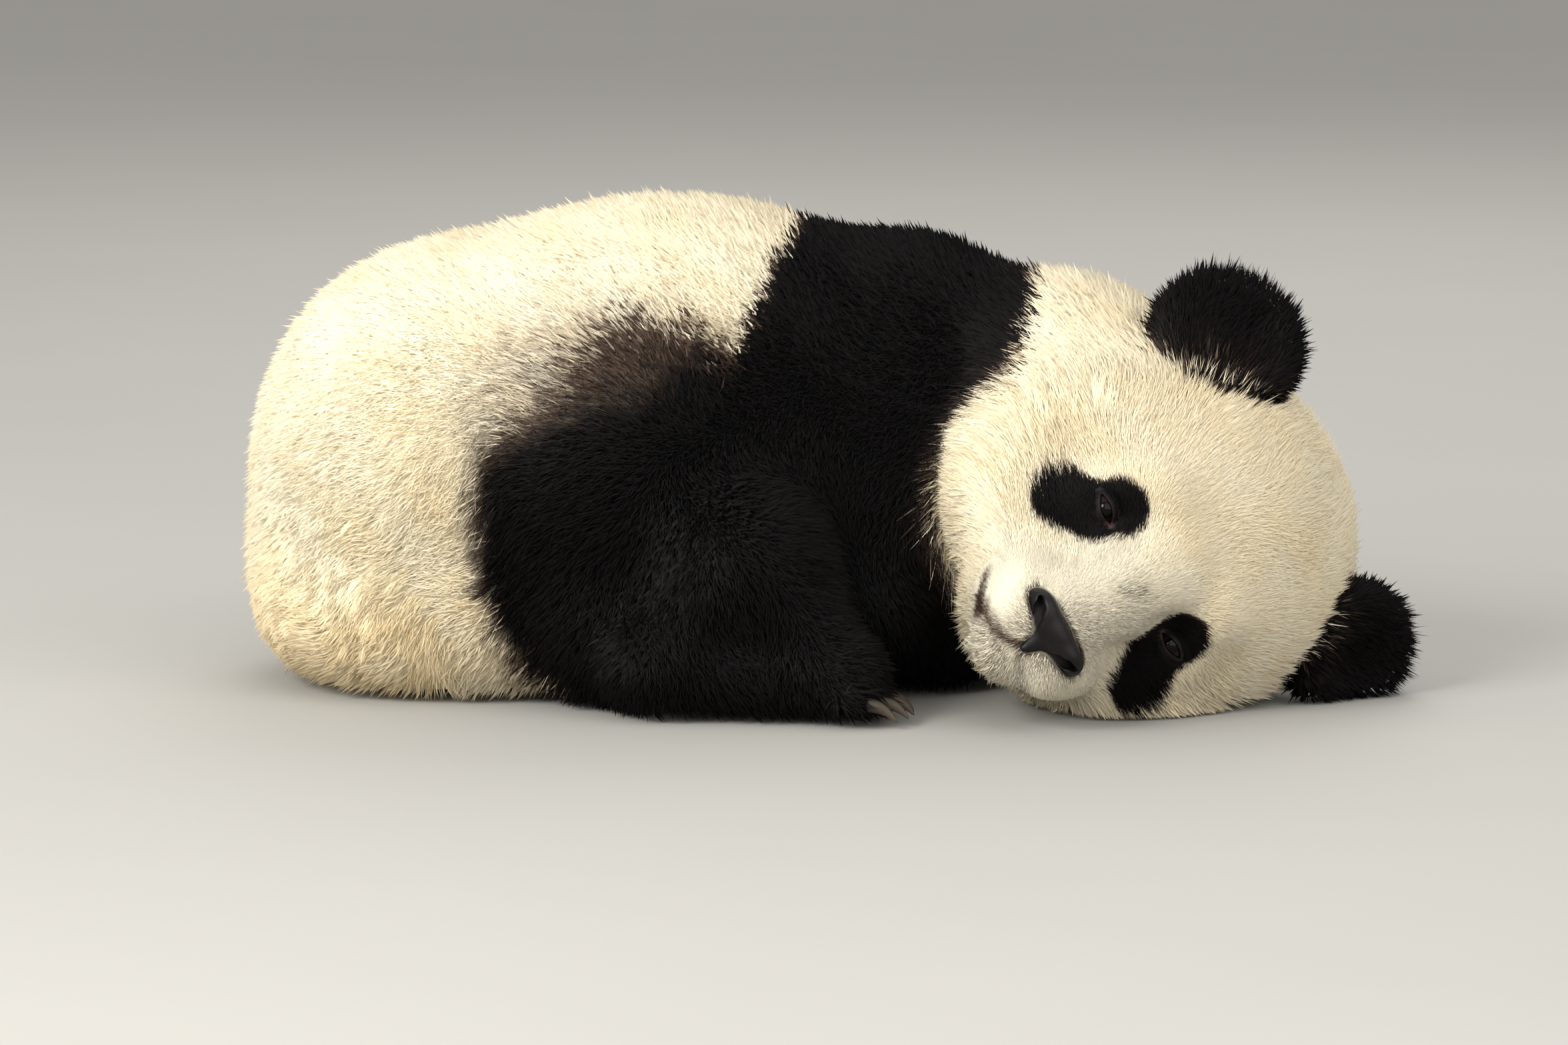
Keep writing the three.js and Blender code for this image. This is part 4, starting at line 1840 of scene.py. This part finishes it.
@dataclass
class Coat:
    """The fur: tufts over the whole skin, in pieces."""

    skin: Skin
    seed: int = 7
    guard_from: float = 0.93  # draws over this are guard hairs, longer and thinner than the rest
    guard_longer: float = 0.25
    guard_thinner: float = 0.45
    whisker_share: float = 0.05  # of the hairs in the fringe under the jaw
    whisker_longer: float = 0.9
    whisker_level: float = -88.0  # they grow below this, on the head's axes
    clump_rate: float = 14.0  # how likely a tuft is to be a clump's middle, for tufts of one
    clump_tufts: float = 4.5e5  # spacing in a coat of so many
    root_depth: float = 0.6  # how far below the skin a tuft starts
    crown_level: float = 35.0  # where the head's pieces meet, on its own axes
    brow_level: float = -36.0
    brow_front: float = 55.0
    face_front: float = 62.0
    face_half: float = 72.0
    rump_start: float = -190.0  # where the back's piece meets the rump's
    patch: float = 0.0015  # half the width of a tuft's place on the map that colours are baked to
    most: int = 199_000  # triangles in a piece

    def sort(self, p: Points, part: Values) -> np.ndarray:
        """Which piece each point belongs to.

        Args:
            p: Points on the skin.
            part: The number of the part that each lies on.

        Returns:
            The number of each point's piece.
        """
        order = list(CoatPiece)
        q = HEAD.into(p)
        right = p[:, 1] < PELT.marks.spine
        piece = np.full(len(p), order.index(CoatPiece.NECK))

        def put(where: np.ndarray, name: CoatPiece) -> None:
            """Gives the chosen points to a piece."""
            piece[where] = order.index(name)

        head, torso = part == PELT.index("head"), part == PELT.index("torso")
        put(head, CoatPiece.CROWN)
        cheeks, low = head & (q[:, 2] < self.crown_level), q[:, 2] < self.brow_level
        put(cheeks & (q[:, 1] < 0), CoatPiece.CHEEK_RIGHT)
        put(cheeks & (q[:, 1] >= 0), CoatPiece.CHEEK_LEFT)
        put(head & (q[:, 0] > self.brow_front) & ~low, CoatPiece.BROW)
        put(head & (q[:, 0] > self.face_front) & low & (np.abs(q[:, 1]) < self.face_half), CoatPiece.FACE)
        band = torso & (PELT.torso_dark(p) > -3)
        ahead = torso & ~band & (p[:, 0] > 0)
        rump = (torso & ~band & (p[:, 0] < self.rump_start)) | (part == PELT.index("tail"))
        back = torso & ~band & ~ahead & ~rump
        for group, names in (
            (band, (CoatPiece.SHOULDER_RIGHT, CoatPiece.SHOULDER_LEFT)),
            (rump, (CoatPiece.RUMP_RIGHT, CoatPiece.RUMP_LEFT)),
            (back, (CoatPiece.BACK_RIGHT, CoatPiece.BACK_LEFT)),
        ):
            put(group & right, names[0])
            put(group & ~right, names[1])
        for side in SIDES:
            upper = side.upper()
            put(part == PELT.index(f"ear_{side}"), CoatPiece[f"EAR_{upper}"])
            put(part == PELT.index(f"haunch_{side}"), CoatPiece[f"HAUNCH_{upper}"])
            put(part == PELT.index(f"hindfoot_{side}"), CoatPiece[f"FOOT_{upper}"])
            for name in ("arm", "forearm"):
                put(part == PELT.index(f"{name}_{side}"), CoatPiece[f"FORELEG_{upper}"])
        return piece

    def unwrap(self, faces: np.ndarray) -> np.ndarray:
        """Lays part of the skin out flat.

        Args:
            faces: The skin's faces in that part.

        Returns:
            The place on the map of each corner of each face.
        """
        used, corner = np.unique(faces, return_inverse=True)
        corner = corner.reshape(faces.shape)
        mesh = bpy.data.meshes.new("unwrap_work")
        mesh.from_pydata((self.skin.points[used] * MM).tolist(), [], corner.tolist())
        mesh.uv_layers.new(name="OFBake")
        work = bpy.data.objects.new("unwrap_work", mesh)
        bpy.context.scene.collection.objects.link(work)
        bpy.context.view_layer.objects.active = work
        work.select_set(True)
        bpy.ops.object.mode_set(mode="EDIT")
        bpy.ops.mesh.select_all(action="SELECT")
        bpy.ops.uv.smart_project(angle_limit=math.radians(66), island_margin=0.006)
        bpy.ops.object.mode_set(mode="OBJECT")
        flat = np.zeros(len(mesh.loops) * 2, np.float32)
        mesh.uv_layers["OFBake"].uv.foreach_get("vector", flat)
        bpy.data.objects.remove(work)
        bpy.data.meshes.remove(mesh)
        return flat.reshape(-1, 3, 2)

    def roots(self, rng: np.random.Generator) -> dict[str, np.ndarray]:
        """Strews roots over the skin, as thickly as each part's tufts are fine.

        Args:
            rng: Where the draws come from.

        Returns:
            For each root its point, normal, face and place in the face.
        """
        corners = self.skin.points[self.skin.faces]
        first, second = corners[:, 1] - corners[:, 0], corners[:, 2] - corners[:, 0]
        area = np.linalg.norm(np.cross(first, second), axis=1) / 2
        middle = corners.mean(axis=1)
        facing = unit(self.skin.normals[self.skin.faces].mean(axis=1))
        share = PELT.shares(middle)
        width, cover, lean = (PELT.lock(key, share) for key in ("width", "cover", "lean"))
        length = PELT.depth(middle, share) * np.sqrt(1 + lean**2)
        bald = PELT.markings(middle, PELT.shares(middle, MARK_REACH))["bare"]
        under = smoothstep(-0.55, -0.85, facing[:, 2]) * smoothstep(14, 8, middle[:, 2])
        hidden = smoothstep(-0.2, -0.7, facing[:, 2]) * smoothstep(60, 30, middle[:, 2])
        density = cover / (0.5 * width * length) * (1 - bald) * (1 - under) * (1 - 0.45 * hidden)
        total = np.cumsum(area * density)
        ticks = np.arange(int(total[-1])) + rng.uniform(0, 1, int(total[-1]))
        face = np.minimum(np.searchsorted(total, ticks), len(area) - 1)
        u, v = rng.uniform(size=(2, len(face)))
        flip = u + v > 1
        u, v = np.where(flip, 1 - u, u), np.where(flip, 1 - v, v)
        spot = np.stack([1 - u - v, u, v], axis=1)
        point = (corners[face] * spot[:, :, None]).sum(axis=1)
        normal = unit((self.skin.normals[self.skin.faces[face]] * spot[:, :, None]).sum(axis=1))
        return {"point": point, "normal": normal, "face": face, "spot": spot}

    def draw_together(
        self, root: Points, tip: Points, spacing: Values, pull: Values, rng: np.random.Generator
    ) -> Points:
        """Draws the tufts' tips together in clumps.

        Args:
            root: The tufts' roots.
            tip: Their tips.
            spacing: How far apart clumps are by each.
            pull: How far each is drawn.
            rng: Where the draws come from.

        Returns:
            The new tips.
        """
        chance = self.clump_rate / spacing**2 / (len(root) / self.clump_tufts)
        centres = np.flatnonzero(rng.uniform(size=len(root)) < chance * 0.16)
        tree = KDTree(len(centres))
        for i, c in enumerate(centres):
            tree.insert(root[c], i)
        tree.balance()
        nearest = centres[np.fromiter((tree.find(p)[1] for p in root.tolist()), int, len(root))]
        off = root - root[nearest]
        close = np.exp(-((np.linalg.norm(off, axis=1) / (0.9 * spacing)) ** 2))
        goal = tip[nearest] + 0.25 * off
        return tip + (goal - tip) * (pull * close)[:, None]

    def lie(self, p: Points, n: Points, share: np.ndarray, low: Values, rng: np.random.Generator) -> Points:
        """The way that each tuft lies along the skin.

        Args:
            p: The tufts' roots.
            n: The way out of the skin at each.
            share: How much each part has a say there.
            low: How far down the rump each is.
            rng: Where the draws come from.

        Returns:
            Directions of length 1.
        """
        wide = PELT.shares(p, LIE_REACH)
        lie = sum(wide[:, i : i + 1] * unit(part.lie(p)) for i, part in enumerate(PELT.parts))
        spin = (0.4 + 0.45 * low) * PELT.swirl.at(p)
        spin = spin + rng.normal(0, 1, len(p)) * lerp(0.42, 0.24, share[:, 0])
        lie = unit(lie - n * (lie * n).sum(axis=1, keepdims=True))
        return lie * np.cos(spin)[:, None] + np.cross(n, lie) * np.sin(spin)[:, None]

    def dark(self, mark: Values, head: Values, speckle: Values) -> Values:
        """How dark each tuft is: by the edge of a marking, cream and dark tufts are mixed.

        Args:
            mark: How dark the marking is there.
            head: How far each tuft is on the head; where it meets the body, they are mixed most.
            speckle: A draw from 0 to 1 for each.

        Returns:
            From 0 to 1.
        """
        mixed = (2.0 + 16.0 * head * (1 - head)) * (speckle - 0.5)
        return np.clip(mark + mixed * mark * (1 - mark), 0, 1)

    def tufts(self) -> None:
        """Works out every tuft on the cub."""
        rng = np.random.default_rng(self.seed)
        root = self.roots(rng)
        p, n, count = root["point"], root["normal"], len(root["point"])
        share = PELT.shares(p)
        head, depth = share[:, 0], PELT.depth(p, share)
        low = smoothstep(120, 30, p[:, 2]) * smoothstep(-170, -230, p[:, 0])
        lie = self.lie(p, n, share, low, rng)
        q = HEAD.into(p)
        ruff = PELT.ruff(q) * head
        stand = rng.uniform(size=count) ** 2.5
        stray = rng.uniform(size=count)
        guard = stray > self.guard_from
        whisker = stray < self.whisker_share * ruff * (q[:, 2] < self.whisker_level)
        longer = 1 + self.whisker_longer * whisker + self.guard_longer * guard
        height = depth * lerp(0.7, lerp(1.45, 1.25, head), stand) * (1 + 0.05 * PELT.edge.at(p)) * longer
        brink = smoothstep(0.02, 0.4, PELT.shares(p, LIE_REACH)[:, PELT.index("torso")]) * head
        lean = PELT.lock("lean", share)
        sweep = depth * lean * lerp(1.15, 0.7, stand) * (1 + 0.2 * ruff + 0.5 * brink) * longer
        clump = PELT.lock("clump", share) * (1 + 0.5 * ruff + 0.9 * low)
        pull = PELT.lock("pull", share) + 0.45 * ruff + 0.25 * low
        tip = p + n * height[:, None] + lie * sweep[:, None]
        tip = self.draw_together(p, tip, clump, pull, rng)
        bend = p + n * (height * 0.72)[:, None] + lie * (sweep * 0.28)[:, None]
        speckle = rng.uniform(size=count)
        reach = rng.uniform(0.35, 1.2, count)[:, None]
        mark = PELT.markings(p + reach * (tip - p), PELT.shares(p, MARK_REACH))
        thin = 1 - self.guard_thinner * guard
        self.data = {
            "root": p - n * self.root_depth, "bend": bend, "tip": tip, "normal": n,
            "width": PELT.lock("width", share) * rng.uniform(0.7, 1.3, count) * thin,
            "roll": rng.normal(0, 0.25, count), "shade": rng.uniform(size=count),
            "dark": self.dark(mark["dark"], head, speckle), "warm": mark["warm"],
            # grey hair, and painted shade under the jaw and in the fold between the eyes
            "grizzle": np.minimum(1.2 * mark["grizzle"], 1) * (rng.uniform(size=count) < 0.65),
        }  # fmt: skip
        kept = NOSE.clear(p) & NOSE.clear(tip)
        self.data = {key: value[kept] for key, value in self.data.items()}
        self.face, self.spot = root["face"][kept], root["spot"][kept]
        middle = self.skin.points[self.skin.faces].mean(axis=1)
        self.face_piece = self.sort(middle, PELT.shares(middle).argmax(axis=1))

    def mesh(self, chosen: np.ndarray, uv: np.ndarray) -> Mesh:
        """Builds some tufts as one mesh.

        Args:
            chosen: Their numbers.
            uv: Each root's place on the map.

        Returns:
            The mesh.
        """
        part = {key: value[chosen] for key, value in self.data.items()}
        along, aside, above = (np.array(row) for row in (BLADE.along, BLADE.across, BLADE.above))
        corners, per = np.array(BLADE.faces), len(BLADE.along)
        t = along[None, :, None]
        root, bend, tip = (part[k][:, None, :] for k in ("root", "bend", "tip"))
        line = (1 - t) ** 2 * root + 2 * t * (1 - t) * bend + t**2 * tip
        way = unit(part["tip"] - part["root"])
        side = unit(np.cross(way, part["normal"]))
        over = np.cross(side, way)
        roll = part["roll"][:, None]
        side, over = side * np.cos(roll) + over * np.sin(roll), over * np.cos(roll) - side * np.sin(roll)
        width = part["width"][:, None, None]
        points = line + side[:, None, :] * width * aside[None, :, None]
        points = points + over[:, None, :] * width * above[None, :, None]
        points[..., 2] = np.maximum(points[..., 2], 0.5 + 0.4 * part["shade"][:, None])
        faces = (np.arange(len(chosen))[:, None, None] * per + corners[None]).reshape(-1, 3)
        values = {key: np.repeat(part[key], per) for key in ("shade", "dark", "warm", "grizzle")}
        values["along"] = np.tile(along, len(chosen))
        turn = aside[None, :, None] * side[:, None, :] * 0.15
        lift = part["normal"] + 0.12 * over
        normals = unit((lift[:, None, :] + turn).reshape(-1, 3))
        flat = np.stack([aside * 2, along * 2 - 1], axis=1) * self.patch
        patch = (uv[:, None, :] + flat[corners.ravel()][None]).reshape(-1, 2)
        return Mesh(points.reshape(-1, 3), faces, values, normals, np.clip(patch, 0, 1))

    def build(self, material: bpy.types.Material) -> list[bpy.types.Object]:
        """Makes every piece of the coat.

        Args:
            material: The fur's finish.

        Returns:
            The pieces.
        """
        self.tufts()
        made = []
        owner = self.face_piece[self.face]
        for number, piece in enumerate(CoatPiece):
            chosen = np.flatnonzero(owner == number)
            if not len(chosen):
                continue
            room = self.most // len(BLADE.faces)
            if len(chosen) > room:
                LOG.warning("%s would hold %d tufts, over its %d", piece.value, len(chosen), room)
                chosen = chosen[:: math.ceil(len(chosen) / room)]
            faces = np.flatnonzero(self.face_piece == number)
            flat = self.unwrap(self.skin.faces[faces])
            place = np.searchsorted(faces, self.face[chosen])
            uv = (flat[place] * self.spot[chosen][:, :, None]).sum(axis=1)
            mesh = self.mesh(chosen, uv)
            made.append(fitted(mesh.make(piece.value, material), piece.slot))
            LOG.info("%s: %d tufts, %d triangles", piece.value, len(chosen), len(mesh.faces))
        return made


# -------- claws
@dataclass(frozen=True)
class Claws:
    """Smooth horn over each plain claw, along the same bend."""

    length: float = 17.0
    radius: float = 3.3
    start: float = 9.0  # how far ahead of its toe's middle a claw begins
    top: float = 14.0  # height of its root
    tip: float = 5.0  # height of its point
    narrow: float = 0.9  # its breadth and height, as shares of the radius
    tall: float = 1.25
    sides: int = 14
    steps: int = 14

    def horn(self, place: Points, heading: Points) -> Mesh:
        """One claw.

        Args:
            place: The middle of its toe.
            heading: The way that it points.

        Returns:
            The mesh.
        """
        start = place + heading * self.start
        start[2] = self.top
        knee = start + heading * (self.length * 0.62)
        end = start + heading * self.length
        end[2] = self.tip
        side = np.cross([0, 0, 1], heading)
        side /= np.linalg.norm(side)
        rows, along = [], []
        for k in range(self.steps + 1):
            t = k / self.steps
            centre = (1 - t) ** 2 * start + 2 * t * (1 - t) * knee + t * t * end
            way = (1 - t) * (knee - start) + t * (end - knee)
            up = np.cross(way / np.linalg.norm(way), side)
            size = self.radius * (1 - 0.88 * t**1.6) if k < self.steps else 0.05
            for i in range(self.sides):
                angle = 2 * np.pi * i / self.sides
                off = side * np.cos(angle) * self.narrow + up * np.sin(angle) * self.tall
                rows.append(centre + off * size)
                along.append(t)
        i = np.arange(self.sides)
        after = (i + 1) % self.sides
        quads = [np.stack([k + i, k + after, k + self.sides + after, k + self.sides + i], axis=1)
                 for k in range(0, self.steps * self.sides, self.sides)]  # fmt: skip
        return Mesh(np.array(rows), np.concatenate(quads), {"along": np.array(along)})

    def build(self, material: bpy.types.Material) -> list[bpy.types.Object]:
        """Makes all twenty, in place of the plain ones.

        Args:
            material: The horn's finish.

        Returns:
            The pieces.
        """
        made = []
        kinds = (("hind", TRUNK.hind, TRUNK.hind_radii), ("fore", TRUNK.fore, TRUNK.fore_radii))
        for kind, legs, radii in kinds:
            for side, leg in zip(SIDES, legs):
                for i, (place, heading) in enumerate(TRUNK.toe_row(leg, radii[2])):
                    piece = self.horn(place, heading).make(f"claw_{kind}_{side}_{i + 1}", material)
                    cap(piece)
                    made.append(fitted(piece, "claw", f"{kind}claw_{side}_{i + 1}"))
        return made


def cap(piece: bpy.types.Object) -> None:
    """Closes a piece's open ends and faces it outwards.

    Args:
        piece: The piece.
    """
    work = bmesh.new()
    work.from_mesh(piece.data)
    bmesh.ops.holes_fill(work, edges=[e for e in work.edges if e.is_boundary])
    bmesh.ops.recalc_face_normals(work, faces=work.faces)
    work.to_mesh(piece.data)
    work.free()


# -------- the studio
@dataclass(frozen=True)
class Lamp:
    """A soft square lamp that faces the cub."""

    name: str
    place: Vec3  # in metres
    size: float  # length of its side, in metres
    power: float  # in watts
    colour: Colour
    aim: Vec3 = (0.0, 0.0, 0.1)

    def hang(self) -> None:
        """Adds the lamp to the scene."""
        light = bpy.data.lights.new(self.name, "AREA")
        light.size, light.energy, light.color = self.size, self.power, self.colour
        lamp = bpy.data.objects.new(self.name, light)
        lamp.location = self.place
        lamp.rotation_euler = (Vector(self.aim) - Vector(self.place)).to_track_quat("-Z", "Y").to_euler()
        bpy.context.scene.collection.objects.link(lamp)


@dataclass(frozen=True)
class Studio:
    """Floor, lamps and camera."""

    lamps: tuple[Lamp, ...] = (
        Lamp("key_lamp", (-1.8, -2.5, 1.75), 1.4, 150, (1.0, 0.985, 0.94)),
        Lamp("top_lamp", (0.0, -0.2, 3.0), 3.0, 13, (1.0, 1.0, 0.98)),
        Lamp("side_lamp", (-2.6, -1.3, 0.9), 1.8, 36, (1.0, 0.985, 0.95)),
        Lamp("fill_lamp", (1.6, -2.9, 1.4), 4.5, 140, (1.0, 0.99, 0.97)),
        Lamp("rim_lamp", (0.4, 2.4, 2.2), 2.0, 36, (1.0, 1.0, 1.0)),
    )
    sky: Colour = (1.0, 0.99, 0.96)
    sky_strength: float = 0.8
    target: Vec3 = (-27.0, 0.0, 95.7)
    distance: float = 4500.0
    rise: float = 8.0  # of the camera over the floor's level, in degrees
    breadth: float = 905.5  # what the camera takes in at that distance
    sensor: float = 36.0

    def floor(self) -> None:
        """Lays a floor wide enough that no edge of it shows."""
        bpy.ops.mesh.primitive_grid_add(x_subdivisions=8, y_subdivisions=8, size=40)
        floor = bpy.context.object
        floor.name = "studio_floor"
        floor.data.materials.append(FloorFinish().material())

    def camera(self) -> None:
        """Sets the camera."""
        tilt = math.radians(self.rise)
        data = bpy.data.cameras.new("camera")
        data.sensor_width = self.sensor
        data.lens = self.sensor * self.distance / self.breadth
        data.clip_end = 100
        camera = bpy.data.objects.new("camera", data)
        target = np.array(self.target) + SHIFT
        back = np.array([0, -math.cos(tilt), math.sin(tilt)])
        camera.location = Vector((target + back * self.distance) * MM)
        camera.rotation_euler = (math.pi / 2 - tilt, 0, 0)
        bpy.context.scene.collection.objects.link(camera)
        bpy.context.scene.camera = camera

    def build(self) -> None:
        """Sets up all of it."""
        self.floor()
        for lamp in self.lamps:
            lamp.hang()
        world = bpy.data.worlds.new("studio")
        world.use_nodes = True
        background = world.node_tree.nodes["Background"]
        background.inputs["Color"].default_value = (*self.sky, 1)
        background.inputs["Strength"].default_value = self.sky_strength
        bpy.context.scene.world = world
        bpy.context.scene.view_settings.view_transform = "Standard"
        self.camera()


def main() -> None:
    """Builds the cub, piece by piece."""
    logging.basicConfig(level=logging.INFO, format="%(relativeCreated)7d ms %(message)s")
    Studio().build()
    LOG.info("studio ready")
    skin = Skin()
    skin.shape()
    LOG.info("skin shaped: %d points, %d faces", len(skin.points), len(skin.faces))
    skin.build(SkinFinish().material())
    LOG.info("skin dressed")
    NOSE.build(LeatherFinish().material())
    LOG.info("nose made")
    EYES.build(EyeFinish().material())
    LOG.info("eyes made")
    Claws().build(HornFinish().material())
    LOG.info("claws made")
    Coat(skin).build(FurFinish().material())
    LOG.info("coat made")


if __name__ == "__main__":
    main()
